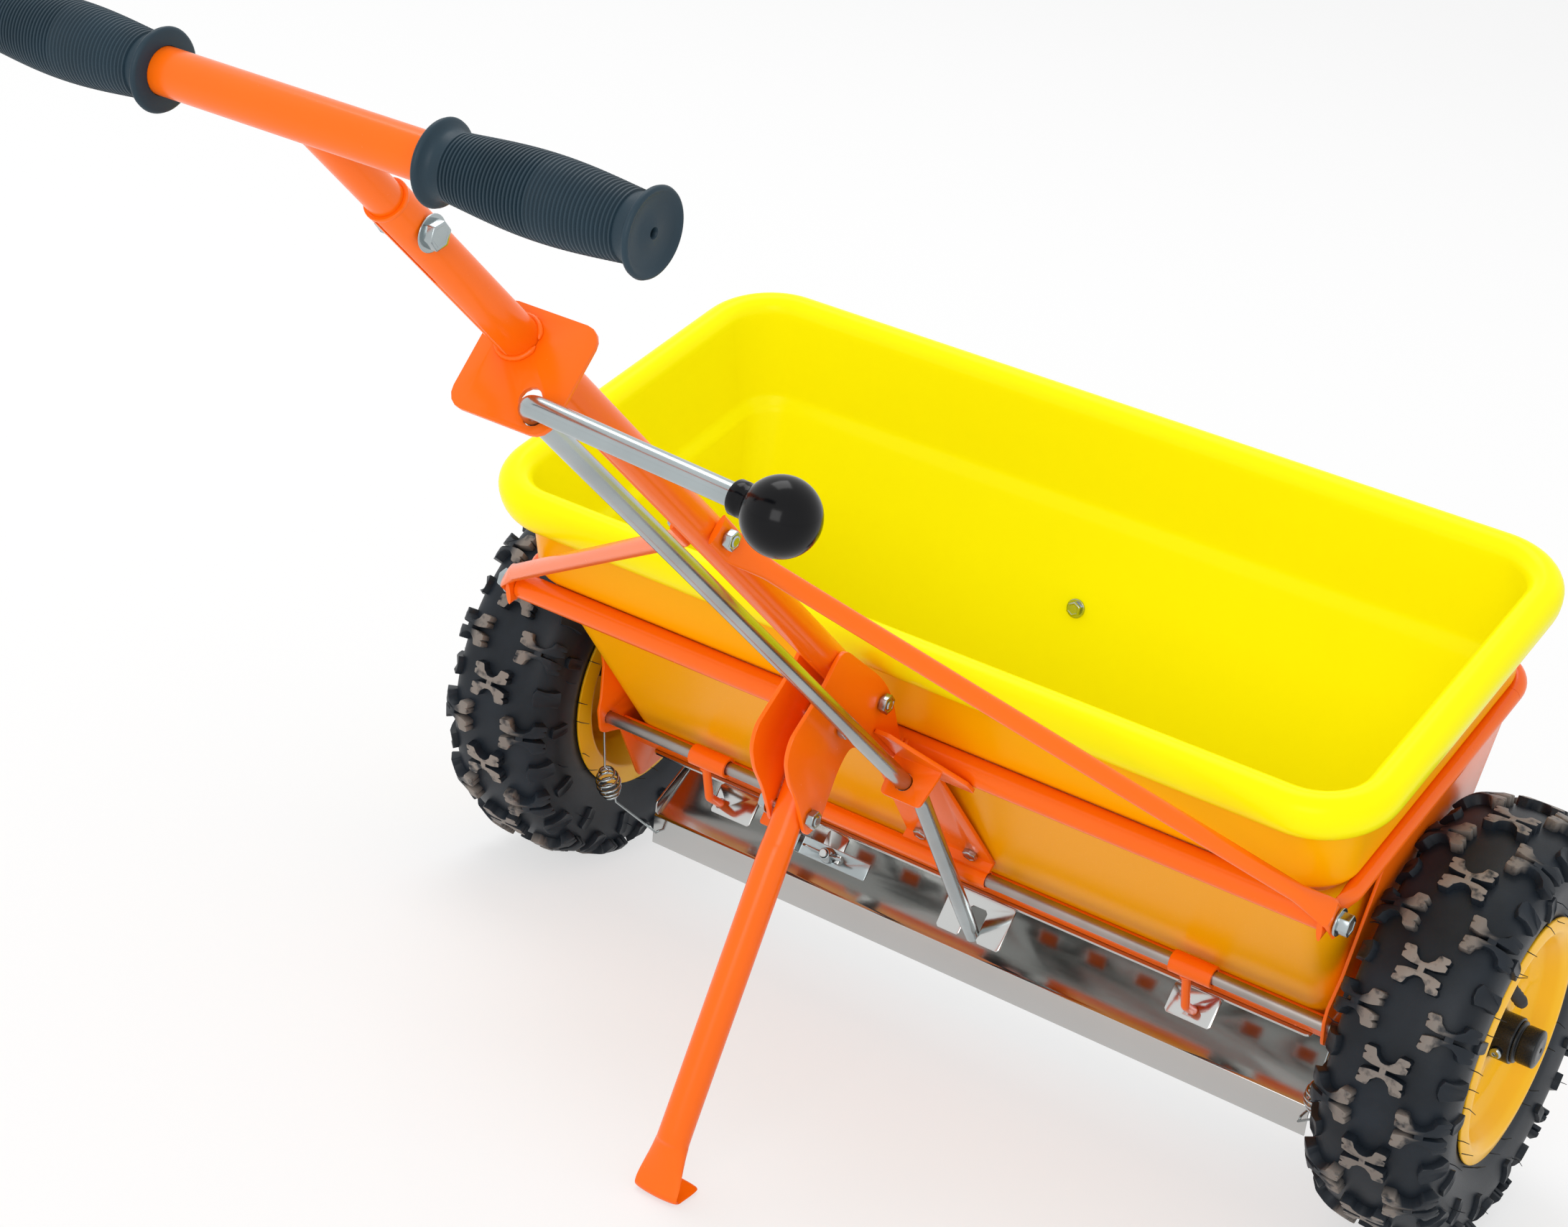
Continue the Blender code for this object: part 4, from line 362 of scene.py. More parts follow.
def filleted(profile, radius, steps=3):
    """A closed profile with its corners rounded by up to the radius."""
    points = [Vector(p) for p in profile]
    made = []
    for before, corner, after in zip(points[-1:] + points, points, points[1:] + points[:1]):
        into = corner - before
        out = after - corner
        reach = min(radius, into.length * 0.42, out.length * 0.42)
        first = corner - into.normalized() * reach
        last = corner + out.normalized() * reach
        made += [tuple(point) for point in rounded(first, corner, last, steps)]
    return made


def arc_path(points, radius, steps):
    """The path with each inner corner made an arc."""
    path = [Vector(points[0])]
    for before, corner, after in zip(points, points[1:], points[2:]):
        corner = Vector(corner)
        into = (corner - Vector(before)).normalized()
        out = (Vector(after) - corner).normalized()
        turn = into.angle(out)
        reach = radius * math.tan(turn / 2)
        centre = corner + (out - into).normalized() * (radius / math.cos(turn / 2))
        axis = into.cross(out).normalized()
        for k in range(steps + 1):
            path.append(centre + Matrix.Rotation(turn * k / steps, 3, axis) @ (corner - into * reach - centre))
    path.append(Vector(points[-1]))
    return path


def eased(values, steps):
    """Points on a smooth curve through the given ones."""
    values = [Vector(v) for v in values]
    made = []
    for i in range(len(values) - 1):
        a, b, c, d = (values[min(max(i + k, 0), len(values) - 1)] for k in (-1, 0, 1, 2))
        for k in range(steps):
            t = k / steps
            made.append(0.5 * (2 * b + (c - a) * t + (2 * a - 5 * b + 4 * c - d) * t ** 2
                               + (3 * b - a - 3 * c + d) * t ** 3))
    made.append(values[-1])
    return made


def box(bm, low, high, place):
    """A block between two corners."""
    size = Vector(high) - Vector(low)
    middle = (Vector(high) + Vector(low)) / 2
    bmesh.ops.create_cube(bm, size=1.0, matrix=place @ Matrix.Translation(middle) @ Matrix.Diagonal((*size, 1)))


def round_edges(bm, edges, width):
    """Rounds sharp edges off."""
    bmesh.ops.bevel(bm, geom=edges, offset=width, offset_type="OFFSET", segments=2, profile=0.5,
                    affect="EDGES", clamp_overlap=False, material=-1)


def hexagon(bm, seat, axis, flats, height):
    """A hexagon head standing on its seat, turned down at its corners, with a shallow dish on top."""
    place = toward(axis, seat)
    reach = flats / math.sqrt(3)
    made = bmesh.ops.create_cone(bm, cap_ends=True, segments=6, radius1=reach, radius2=reach, depth=height,
                                 matrix=place @ Matrix.Translation((0, 0, height / 2)))["verts"]
    top = [vert for vert in made if (place.inverted() @ vert.co).z > height / 2]
    face = next(face for face in top[0].link_faces if all(vert in top for vert in face.verts))
    edges = list(face.edges)
    sides = [edge for vert in top for edge in vert.link_edges if edge not in edges]
    round_edges(bm, edges + sides, flats * 0.055)
    inner = [face for face in bm.faces if len(face.verts) == 6
             and (place.inverted() @ face.calc_center_median() - Vector((0, 0, height))).length < flats * 0.1]
    if inner:
        bmesh.ops.inset_region(bm, faces=inner, thickness=flats * 0.10, depth=0)
        bmesh.ops.inset_region(bm, faces=inner, thickness=flats * 0.03, depth=-flats * 0.025)


def bead(bm, points, radius, seed):
    """A weld bead with ripples along the points."""
    line = eased(points, 10)
    total = sum((b - a).length for a, b in zip(line, line[1:]))
    count = max(int(total / 0.0011), 4)
    even = [along_line(line, total * k / count) for k in range(count + 1)]
    sizes = []
    for k, point in enumerate(even):
        end = min(1.0, 0.35 + min(k, count - k) * 0.3)
        ripple = 0.88 + 0.10 * (k % 2) + 0.14 * noise.noise(point * 260 + Vector((seed, 0, 0)))
        sizes.append((radius * ripple * end, radius * ripple * end))
    sweep(bm, even, sizes, 10)


def along_line(line, distance):
    """The point at a distance along a line of points."""
    for a, b in zip(line, line[1:]):
        step = (b - a).length
        if distance <= step or b is line[-1]:
            return a.lerp(b, min(distance / max(step, 1e-9), 1.0))
        distance -= step
    return line[-1]


def circle_points(centre, across, upward, start, end, count):
    """Points of an arc that runs from across towards upward, its angles in degrees."""
    turns = [math.radians(start + (end - start) * k / count) for k in range(count + 1)]
    return [centre + across * math.cos(turn) + upward * math.sin(turn) for turn in turns]


def as_mesh(name, bm):
    """The finished mesh of bm, which is freed."""
    mesh = bpy.data.meshes.new(name)
    bm.to_mesh(mesh)
    bm.free()
    return mesh


def in_scene(name, data):
    """A new object of the scene."""
    obj = bpy.data.objects.new(name, data)
    bpy.context.scene.collection.objects.link(obj)
    return obj


def piece(name, bm, body, look, nodes=(), smooth=38.0):
    """Makes a mesh that is already in place a piece that rides on its body."""
    mesh = as_mesh(name, bm)
    mesh.shade_smooth()
    mesh.set_sharp_from_angle(angle=math.radians(smooth))
    made = finishes[look]
    mesh.materials.append(made)
    obj = in_scene(name, mesh)
    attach(obj, body)
    if nodes:
        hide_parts(*nodes)
    return obj


def build(name, bm, body, look, nodes=(), smooth=38.0):
    """Sets a mesh of the machine's frame in place, facing outwards, and makes it a piece."""
    bmesh.ops.remove_doubles(bm, verts=bm.verts, dist=1e-6)
    bmesh.ops.recalc_face_normals(bm, faces=bm.faces)
    bmesh.ops.transform(bm, matrix=level, verts=bm.verts)
    return piece(name, bm, body, look, nodes, smooth)


def turned(name, profile, axis, origin, steps, body, look, nodes=(), smooth=38.0):
    """A piece that is one section spun about an axis."""
    bm = bmesh.new()
    lathe(bm, profile, axis, origin, steps)
    return build(name, bm, body, look, nodes, smooth)


def softened(node, body, look, width):
    """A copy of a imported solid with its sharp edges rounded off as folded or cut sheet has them."""
    bm = bmesh.new()
    bm.from_mesh(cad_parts[node].data)
    bmesh.ops.remove_doubles(bm, verts=bm.verts, dist=1e-6)
    bmesh.ops.dissolve_limit(bm, angle_limit=math.radians(0.8), use_dissolve_boundaries=False,
                             verts=bm.verts, edges=bm.edges)
    round_edges(bm, sharp_edges(bm, 28), width)
    piece(node + "_sheet", bm, body, look, [node], 30.0)


def sharp_edges(bm, limit):
    """The edges whose faces meet at more than the limit in degrees."""
    return [edge for edge in bm.edges if len(edge.link_faces) == 2
            and edge.calc_face_angle(0) > math.radians(limit)]


# Finishes

finishes = {}


def link(tree, source, socket, target, entry):
    """Joins one node's output to another node's input."""
    tree.links.new(source.outputs[socket], target.inputs[entry])


def add_node(tree, kind, **values):
    """A new shader node with its inputs set."""
    made = tree.nodes.new("ShaderNode" + kind)
    for socket, value in values.items():
        made.inputs[socket.replace("_", " ")].default_value = value
    return made


def finish(name, slot, base, spread, patch, grain, rough, bump, metallic=0.0, stretch=(1, 1, 1), depth=0.0001,
           **shine):
    """A surface with slow colour drift, fine grain in its gloss, and a shallow bump of the same grain."""
    made = bpy.data.materials.new(name)
    made.use_nodes = True
    made["slot"] = slot
    finishes[name] = made
    tree = made.node_tree
    shader = tree.nodes["Principled BSDF"]
    place = add_node(tree, "TexCoord")
    slow = add_node(tree, "TexNoise", Scale=patch, Detail=4.0)
    ramp = add_node(tree, "ValToRGB")
    low, high = ramp.color_ramp.elements
    low.position = 0.30
    low.color = (*[c * (1 - spread) for c in base], 1)
    high.position = 0.70
    high.color = (*[min(c * (1 + spread * 0.6), 1) for c in base], 1)
    mapping = add_node(tree, "Mapping", Scale=stretch)
    fine = add_node(tree, "TexNoise", Scale=grain, Detail=3.0)
    gloss = add_node(tree, "MapRange", To_Min=rough[0], To_Max=rough[1])
    lift = add_node(tree, "Bump", Strength=bump, Distance=depth)
    link(tree, place, "Object", slow, "Vector")
    link(tree, slow, "Fac", ramp, "Fac")
    link(tree, ramp, "Color", shader, "Base Color")
    link(tree, place, "Object", mapping, "Vector")
    link(tree, mapping, "Vector", fine, "Vector")
    link(tree, fine, "Fac", gloss, "Value")
    link(tree, gloss, "Result", shader, "Roughness")
    link(tree, fine, "Fac", lift, "Height")
    link(tree, lift, "Normal", shader, "Normal")
    shader.inputs["Metallic"].default_value = metallic
    for socket, value in shine.items():
        shader.inputs[socket.replace("_", " ")].default_value = value
    return made


def over(tree, colour, strength):
    """Mixes a colour over the finish by the strength that a node gives."""
    shader = tree.nodes["Principled BSDF"]
    mix = tree.nodes.new("ShaderNodeMix")
    mix.data_type = "RGBA"
    before = shader.inputs["Base Color"].links[0].from_socket
    tree.links.new(before, mix.inputs[6])
    mix.inputs[7].default_value = (*colour, 1)
    tree.links.new(strength, mix.inputs[0])
    tree.links.new(mix.outputs[2], shader.inputs["Base Color"])


def patches(tree, low, high, **values):
    """A node that gives 1 where a noise passes high and 0 where it stays under low. Values set the noise."""
    marks = add_node(tree, "TexNoise", **values)
    link(tree, tree.nodes["Texture Coordinate"], "Object", marks, "Vector")
    cut = add_node(tree, "MapRange", From_Min=low, From_Max=high)
    link(tree, marks, "Fac", cut, "Value")
    return cut


def attribute(tree, name):
    """A node that reads one of the piece's own vertex values."""
    made = add_node(tree, "Attribute")
    made.attribute_name = name
    return made


def scratches(made, colour, share, scale):
    """Sparse chips and rub marks."""
    tree = made.node_tree
    cut = patches(tree, 0.70 - share, 0.74, Scale=scale, Detail=8.0, Roughness=0.72)
    over(tree, colour, cut.outputs["Result"])


def make_finishes(colours):
    """Makes each finish: its name and slot, colour, drift, the scales of drift and grain, gloss and bump."""
    orange = finish("orange_paint", "orange_paint", colours.orange, 0.05, 7.0, 260.0, (0.20, 0.30), 0.05,
                    Specular_IOR_Level=0.26, Coat_Weight=0.05, Coat_Roughness=0.08)
    scratches(orange, (0.72, 0.10, 0.006), 0.02, 38.0)
    # The hopper's base colour is painted light: its yellow as it looks lit.
    hopper = finish("hopper_yellow", "hopper_yellow", colours.inside, 0.02, 5.0, 1400.0, (0.22, 0.30), 0.05,
                    Specular_IOR_Level=0.07)
    tree = hopper.node_tree
    # Painted shade: amber mixed over the yellow by each vertex's share of painted shade, on the outer walls and under
    # the rolled rim.
    over(tree, colours.painted_shade, attribute(tree, "painted_shade").outputs["Fac"])
    finish("rim_paint", "rim_yellow", colours.rim, 0.05, 14.0, 500.0, (0.26, 0.38), 0.08, Specular_IOR_Level=0.32)
    rubber = finish("tyre_rubber", "tyre", colours.rubber, 0.35, 30.0, 1500.0, (0.36, 0.52), 0.30,
                    depth=0.0002, Specular_IOR_Level=0.24)
    tree = rubber.node_tree
    both = add_node(tree, "Math")
    both.operation = "MULTIPLY"
    link(tree, attribute(tree, "worn"), "Fac", both, 0)
    link(tree, patches(tree, 0.30, 0.48, Scale=130.0, Detail=6.0), "Result", both, 1)
    over(tree, (0.27, 0.235, 0.205), both.outputs["Value"])
    finish("tube_rubber", "inner_tube", (0.022, 0.022, 0.024), 0.2, 40.0, 900.0, (0.5, 0.7), 0.3)
    finish("grip_rubber", "grip", colours.grip, 0.22, 22.0, 1600.0, (0.42, 0.56), 0.25,
           Specular_IOR_Level=0.30)
    finish("black_plastic", "black_plastic", (0.003, 0.003, 0.004), 0.25, 30.0, 700.0, (0.12, 0.20), 0.03,
           Specular_IOR_Level=0.18)
    finish("hub_plastic", "black_plastic", (0.009, 0.011, 0.014), 0.25, 30.0, 900.0, (0.22, 0.34), 0.10,
           Specular_IOR_Level=0.30)
    zinc = finish("zinc", "zinc", (0.40, 0.445, 0.455), 0.16, 16.0, 300.0, (0.16, 0.24), 0.03, 1.0)
    scratches(zinc, (0.50, 0.47, 0.40), 0.03, 22.0)
    finish("rolled_steel", "steel", (0.40, 0.365, 0.34), 0.22, 18.0, 240.0, (0.26, 0.46), 0.30, 1.0,
           stretch=(0.05, 1, 1), depth=0.0002)
    finish("stainless", "stainless", (0.57, 0.575, 0.565), 0.05, 6.0, 420.0, (0.10, 0.18), 0.03, 1.0,
           stretch=(0.03, 1, 1))
    finish("nylon", "nylon", (0.74, 0.73, 0.69), 0.05, 20.0, 700.0, (0.4, 0.5), 0.1)


# Pieces

def hopper_loop(bm, row, layer, painted_shade):
    """A rounded rectangle's loop of edges at one height of the hopper."""
    half_length, half_width, z, corner = row
    made = bmesh.ops.create_grid(bm, x_segments=1, y_segments=1, size=1.0)["verts"]
    place = Matrix.Translation((0, hopper_forward, z)) @ Matrix.Diagonal((half_length, half_width, 1, 1))
    bmesh.ops.transform(bm, matrix=place, verts=made)
    face = made[0].link_faces[0]
    bmesh.ops.bevel(bm, geom=list(face.verts), offset=corner, offset_type="OFFSET", segments=14, profile=0.5,
                    affect="VERTICES", clamp_overlap=False, material=-1)
    bm.faces.ensure_lookup_table()
    face = bm.faces[-1]
    edges = list(face.edges)
    # Each vertex keeps the row's share of painted shade.
    for vert in face.verts:
        vert[layer] = painted_shade
    bmesh.ops.delete(bm, geom=[face], context="FACES_ONLY")
    return edges


def wall_rows(inset):
    """The wall's rows from the mouth up to the upper wall, moved in by inset, with its folds rounded."""
    step = shoulder_step / 2
    lift = inset * 0.41
    rows = [(mouth_half_length, mouth_half_width, mouth_z, mouth_corner)]
    for out, z in ((-step, shoulder_z - step + lift), (step, shoulder_z + step + lift),
                   (step + hopper_flare, rim_top - rim_roll / 2)):
        rows.append((shoulder_half_length + out, shoulder_half_width + out, z, shoulder_corner + out))
    rows = [Vector((length - inset, width - inset, z, corner - inset)) for length, width, z, corner in rows]
    made = [rows[0], rows[0].lerp(rows[1], 0.02), rows[0].lerp(rows[1], 0.5)]
    for before, fold, after in zip(rows, rows[1:], rows[2:]):
        first = fold + (before - fold).normalized() * min(0.0035, (before - fold).length * 0.4)
        last = fold + (after - fold).normalized() * min(0.0035, (after - fold).length * 0.4)
        made += rounded(first, fold, last, 4)
    return made


def make_hopper():
    """The moulding as one closed shell, drawn from loops that run up its outside, over the rim and down inside."""
    bm = bmesh.new()
    layer = bm.verts.layers.float.new("painted_shade")
    upper = shoulder_step / 2 + hopper_flare
    top = Vector((shoulder_half_length + upper, shoulder_half_width + upper, 0, shoulder_corner + upper))
    roll = rim_roll / 2

    def roll_row(angle, reach, drop):
        """A row of the rolled rim, at an angle that runs from straight outwards up and over."""
        a = math.radians(angle)
        out = roll - hopper_wall + reach * math.cos(a)
        z = rim_top - roll + (reach if a > 0 else drop) * math.sin(a)
        return Vector((top[0] + out, top[1] + out, z, top[3] + out))

    # Each row has its share of painted shade: the amber that stands for the moulding's shaded outer walls, less over
    # the rolled rim and none inside.
    rows = [(row, 1.0) for row in wall_rows(0.0)]
    rows += [(roll_row(180 - 15.5 * k, roll - hopper_wall, rim_roll_drop - hopper_wall), 0.8) for k in range(17)]
    rows += [(roll_row(-70 + 12.5 * k, roll, rim_roll_drop), max(0.35 - k * 0.09, 0.0)) for k in range(21)]
    rows += [(row, 0.0) for row in wall_rows(hopper_wall)[::-1]]
    loops = [hopper_loop(bm, row, layer, painted_shade) for row, painted_shade in rows]
    for first, second in zip(loops, loops[1:] + loops[:1]):
        bmesh.ops.bridge_loops(bm, edges=first + second)
    build("hopper_shell", bm, "frame", "hopper_yellow", ["hopper"], 50)


def tyre_curve():
    """The tyre's half section from crown to bead as (out, radius) points, with their distances along it."""
    h = tyre_half_width
    knots = [(0.0, crown), (h * 0.30, crown - 0.0003), (h * 0.62, crown - 0.0024), (h * 0.82, crown - 0.0066),
             (h - 0.0032, 0.1345), (h - 0.0004, 0.124), (h - 0.0006, 0.114), (h - 0.0035, 0.100),
             (rim_half_width - 0.0028, rim_flange + 0.0008), (0.0347, rim_seat + 0.0006)]
    line = eased(knots, 8)
    reach = [0.0]
    for a, b in zip(line, line[1:]):
        reach.append(reach[-1] + (b - a).length)
    return line, reach


curve_line, curve_reach = tyre_curve()


def on_tyre(u, v, h, middle):
    """A point of the tread: u round the tyre, v across it from the crown, h out of the carcass."""
    away = min(abs(v), curve_reach[-1] - 1e-6)
    i = max(k for k in range(len(curve_reach) - 1) if curve_reach[k] <= away)
    share = (away - curve_reach[i]) / (curve_reach[i + 1] - curve_reach[i])
    point = curve_line[i].lerp(curve_line[i + 1], share)
    tangent = (curve_line[i + 1] - curve_line[i]).normalized()
    if i + 2 < len(curve_line):
        tangent = tangent.lerp((curve_line[i + 2] - curve_line[i + 1]).normalized(), share).normalized()
    out, far = point.x - tangent.y * h, point.y + tangent.x * h
    a = u / tread_line
    return Vector((middle + math.copysign(out, v), far * math.cos(a), far * math.sin(a)))


# A quarter of the middle rows' block, in millimetres
bow_tie = [(4.9, 0), (5.4, 2.8), (8.4, 6.2), (12.2, 7.6), (13.0, 8.6), (12.8, 14.4), (11.6, 15.8), (8.9, 15.4),
           (7.9, 13.4), (6.7, 15.3), (3.4, 14.9), (2.3, 11.4), (1.6, 8.0), (1.4, 2.4)]


def mirrored(quadrant):
    """An outline from its first quadrant, mirrored across both of its axes."""
    upper = quadrant + [(-x, y) for x, y in quadrant[::-1]]
    lower = [(-x, -y) for x, y in upper[1:-1]] if quadrant[0][1] == 0 else [(-x, -y) for x, y in upper]
    return upper + lower


def lug_shape(outline, height):
    """A tread block as a mesh: u, v across its foot and h up, drawn in a little, with a rounded edge."""
    bm = bmesh.new()
    foot = -0.0012
    face = bm.faces.new([bm.verts.new((u / 1000, v / 1000, foot)) for u, v in outline])
    raised = bmesh.ops.extrude_face_region(bm, geom=[face])["geom"]
    top = of_kind(raised, bmesh.types.BMVert)
    centre = sum((vert.co for vert in top), Vector()) / len(top)
    bmesh.ops.translate(bm, verts=top, vec=(0, 0, height - foot))
    bmesh.ops.scale(bm, verts=top, vec=(0.965, 0.965, 1), space=Matrix.Translation(-centre))
    lid = of_kind(raised, bmesh.types.BMFace)[0]
    round_edges(bm, list(lid.edges), 0.00035)
    for normal, cuts in ((right, (-0.008, 0.0, 0.008)), (Vector((0, 1, 0)), (-0.009, 0.009))):
        for cut in cuts:
            bmesh.ops.bisect_plane(bm, geom=bm.verts[:] + bm.edges[:] + bm.faces[:], dist=1e-6,
                                   plane_co=normal * cut, plane_no=normal)
    bmesh.ops.recalc_face_normals(bm, faces=bm.faces)
    return as_mesh("lug", bm)


def make_tyre(sign, name, body, whiskers):
    """A tyre's carcass with its blocks, worn on the crown, and its moulding hairs."""
    middle = sign * track_half
    bm = bmesh.new()
    worn = bm.verts.layers.float.new("worn")
    outer = [(-p.x, p.y) for p in curve_line[:0:-1]] + [(p.x, p.y) for p in curve_line]
    inner = [(0.026, rim_seat + 0.0035), (0.036, 0.112), (0.034, 0.130), (0.022, crown - 0.0055)]
    profile = outer + inner + [(-x, y) for x, y in inner[::-1]]
    lathe(bm, profile, right, Vector((middle, 0, 0)), 16 * tread_pitches)
    pitch = 2 * math.pi * tread_line / tread_pitches
    wide = lug_shape(mirrored(bow_tie), tread_height - 0.0007)
    narrow = lug_shape([(x * 0.96, y * 1.02) for x, y in mirrored(bow_tie)], tread_height * 0.97)
    shoulder = lug_shape(mirrored([(6.5, 3.0), (7.5, 8.5), (3.0, 10.5)]), tread_height * 0.62)
    block = lug_shape(mirrored([(5.2, 2.2), (5.2, 7.5), (3.5, 9.0)]), tread_height * 0.42)
    placed = [(wide, 0.0, 0.0, 1.0)]
    for way in (-1, 1):
        placed += [(narrow, 0.5, way * lug_wide_row, 0.9), (shoulder, 0.0, way * lug_shoulder_row, 0.0),
                   (block, 0.5, way * lug_side_row, 0.0)]
    for k in range(tread_pitches):
        for mesh, phase, across, wear in placed:
            rubbed = wear * (0.85 + 0.3 * noise.noise(Vector((k * 3.1, across * 90, sign))))
            start = len(bm.verts)
            bm.from_mesh(mesh)
            bm.verts.ensure_lookup_table()
            for vert in bm.verts[start:]:
                u, v, h = vert.co
                near = min(max((worn_half_width - abs(v + across)) / worn_fade, 0.0), 1.0)
                vert[worn] = rubbed * near * (h > worn_height)
                vert.co = on_tyre(u + (k + phase) * pitch, v + across, h, middle)
    for k in range(whiskers):
        for way in (-1, 1):
            u = (k + 0.37 * noise.random()) * pitch * tread_pitches / whiskers
            v = way * hair_rows[1 if k % 3 == 2 else 0] * (0.985 + 0.03 * noise.random())
            tip = 0.0080 + 0.0030 * noise.random()
            line = [on_tyre(u, v, h, middle) for h in (-0.001, tip * 0.5)]
            bend = Vector((0, noise.random() - 0.5, noise.random() - 0.5)) * 0.004
            line.append(on_tyre(u, v, tip, middle) + bend)
            sweep(bm, line, [(radius, radius) for radius in (0.00040, 0.00036, 0.00022)], 5)
    build("tyre_tread_" + name, bm, body, "tyre_rubber", ["tyre_" + name], 34)


def make_inner_tube(sign, name, body):
    """The air tube, whose valve comes out through the rim's disc."""
    out = right * sign
    middle = out * track_half
    bm = bmesh.new()
    half = [(0.0245, rim_seat + 0.0055), (0.0335, 0.1115), (0.031, 0.1285), (0.0205, crown - 0.008)]
    profile = eased([(-a, r) for a, r in half] + [(a, r) for a, r in half[::-1]], 5)
    lathe(bm, [tuple(p) for p in profile], right, middle, 64)
    way = Vector((0, math.cos(valve_angle), math.sin(valve_angle)))
    foot = middle + out * dish_back + way * (rim_seat + 0.008)
    tip = middle + out * (rim_dish + valve_tip_out) + way * valve_tip_radius
    length = (tip - foot).length
    neck, thread_low, thread_high = 0.0036, 0.0043, 0.0047
    stem = [(0, core), (0, valve_radius), (length * 0.60, valve_radius), (length * 0.64, neck),
            (length * 0.70, neck), (length * 0.70, thread_low)]
    for k in range(7):
        stem.append((length * (0.72 + 0.032 * k), thread_low if k % 2 else thread_high))
    stem += [(length * 0.95, thread_low), (length, 0.0030), (length, core)]
    lathe(bm, stem, (tip - foot).normalized(), foot, 24)
    build("air_tube_" + name, bm, body, "tube_rubber", ["inner_tube_" + name])


def make_rim(sign, name, body, creases):
    """A rim pressed from one sheet, with its dished disc and the ribs in it."""
    out = right * sign
    middle = out * track_half
    t, seat, flange, half, dish = rim_wall, rim_seat, rim_flange, rim_half_width, rim_dish
    well = seat - 0.012
    profile = [
        (half - 0.0006, flange), (half - t, flange - 0.0004), (half - t * 1.6, seat), (dish - 0.004, seat - 0.001),
        (0.010, well), (-0.012, well), (-half + t * 1.6, seat), (-half + t, flange - 0.0004),
        (-half + 0.0006, flange), (-half - 0.001, seat - t), (-0.014, well - t), (0.004, well - t),
        (dish - t - 0.003, 0.056),
        (dish - t, hub_radius + 0.005), (dish_back, hub_radius + 0.0035), (dish_back, hub_radius + gap),
        (dish, hub_radius + gap), (dish, hub_radius + 0.006), (dish - 0.003, 0.040), (dish - 0.003, 0.058),
        (dish + 0.002, 0.068), (half - 0.003, seat - t), (half + 0.0015, seat + 0.003),
    ]
    bm = bmesh.new()
    lathe(bm, filleted(profile, 0.0022), out, middle, 120)
    for vert in bm.verts:
        far = math.hypot(vert.co.y, vert.co.z)
        away = (vert.co - middle).dot(out)
        if crease_start < far < crease_end and away > dish - 0.010:
            turn = math.atan2(vert.co.z, vert.co.y) * creases / (2 * math.pi)
            near = abs(turn - round(turn)) * 2 * math.pi / creases * far
            fade = min((far - crease_start) / 0.010, (crease_end - far) / 0.010, 1.0)
            vert.co += out * crease_rise * fade * math.exp(-(near / 0.0042) ** 2)
    build("rim_disc_" + name, bm, body, "rim_paint", ["wheel_rim_" + name])


def make_hubs():
    """The hubs with their caps, and the right hub's screw. The left cap turns with the axle."""
    bore = axle_radius + gap
    start = plate_face + gap + bush_flange + play - track_half
    end = axle_end - track_half + gap
    hub = [(start, bore), (start, axle_radius + 0.004), (dish_back - 0.004, hub_radius - 0.002),
           (dish_back - 0.002, hub_radius), (hub_outer, hub_radius), (hub_outer, bore)]
    for sign, name, body in wheel_sides:
        out = right * sign
        middle = out * track_half
        face = hub_outer + (0 if sign > 0 else play)
        cap = [(face + along, radius) for along, radius in
               ((0, bore), (0, 0.0150), (0.0018, 0.0150), (0.0030, 0.0126), (0.0044, 0.0134), (0.0148, 0.0134),
                (0.0160, 0.0090), (0.0160, 0.0016))]
        cap = filleted(cap + [(end, 0.0016), (end, bore)], 0.0009)
        bm = bmesh.new()
        lathe(bm, filleted(hub, 0.0013), out, middle, 64)
        if sign > 0:
            lathe(bm, cap, out, middle, 64)
        build("hub_" + name + "_turned", bm, body, "hub_plastic", ["wheel_hub_" + name])
        if sign < 0:
            turned("hub_cap_turned", cap, out, middle, 64, "drive_axle", "hub_plastic", ["hub_cap_left"])
    way = Vector((0, -1, 0))
    length = hub_radius - axle_radius - gap
    seat = right * (track_half + hub_outer - 0.008) + way * (hub_radius + gap)
    head = [(0, core), (0, 0.0030), (-0.0009, 0.0042), (-0.0024, 0.0042), (-0.0034, 0.0032), (-0.0034, 0.0017),
            (-0.0018, 0.0015), (-0.0018, core)]
    bm = bmesh.new()
    lathe(bm, filleted(head, 0.0004), -way, seat, 32)
    lathe(bm, pipe(0, length, core, 0.003), -way, seat, 24)
    build("hub_screw_turned", bm, "drive_axle", "zinc", ["hub_screw"])


def make_axle():
    profile = filleted(pipe(-axle_end, axle_end, core, axle_radius), 0.0012)
    turned("axle_turned", profile, right, Vector(), 40, "drive_axle", "rolled_steel", ["axle"])
    seat = plate_face + gap
    bore = axle_radius + play
    profile = [(bush_start, bore), (bush_start, bush_radius), (seat, bush_radius), (seat, bush_flange_radius),
               (seat + bush_flange, bush_flange_radius), (seat + bush_flange, bore)]
    for sign, name in both_sides:
        turned("bush_turned_" + name, filleted(profile, 0.0005), right * sign, Vector(), 48, "frame", "nylon",
               ["axle_bush_" + name])
    softened("agitator", "drive_axle", "rolled_steel", 0.0004)


def oval_bar(bm, points, radius, flats):
    """A round bar that is squashed flat at the flagged points and drawn smoothly between them."""
    points = [Vector(p) for p in points]
    shapes = [(flat_half, flat_half_height) if flat else (radius, radius) for flat in flats]
    line, sizes = [], []
    for i in range(len(points) - 1):
        steps = 8 if flats[i] != flats[i + 1] else 1
        for k in range(steps):
            t = k / steps
            soft = t * t * (3 - 2 * t)
            line.append(points[i].lerp(points[i + 1], soft * 0.35 + t * 0.65))
            sizes.append(tuple(a + (b - a) * soft for a, b in zip(shapes[i], shapes[i + 1])))
    sweep(bm, line + points[-1:], sizes + shapes[-1:], 24, right)


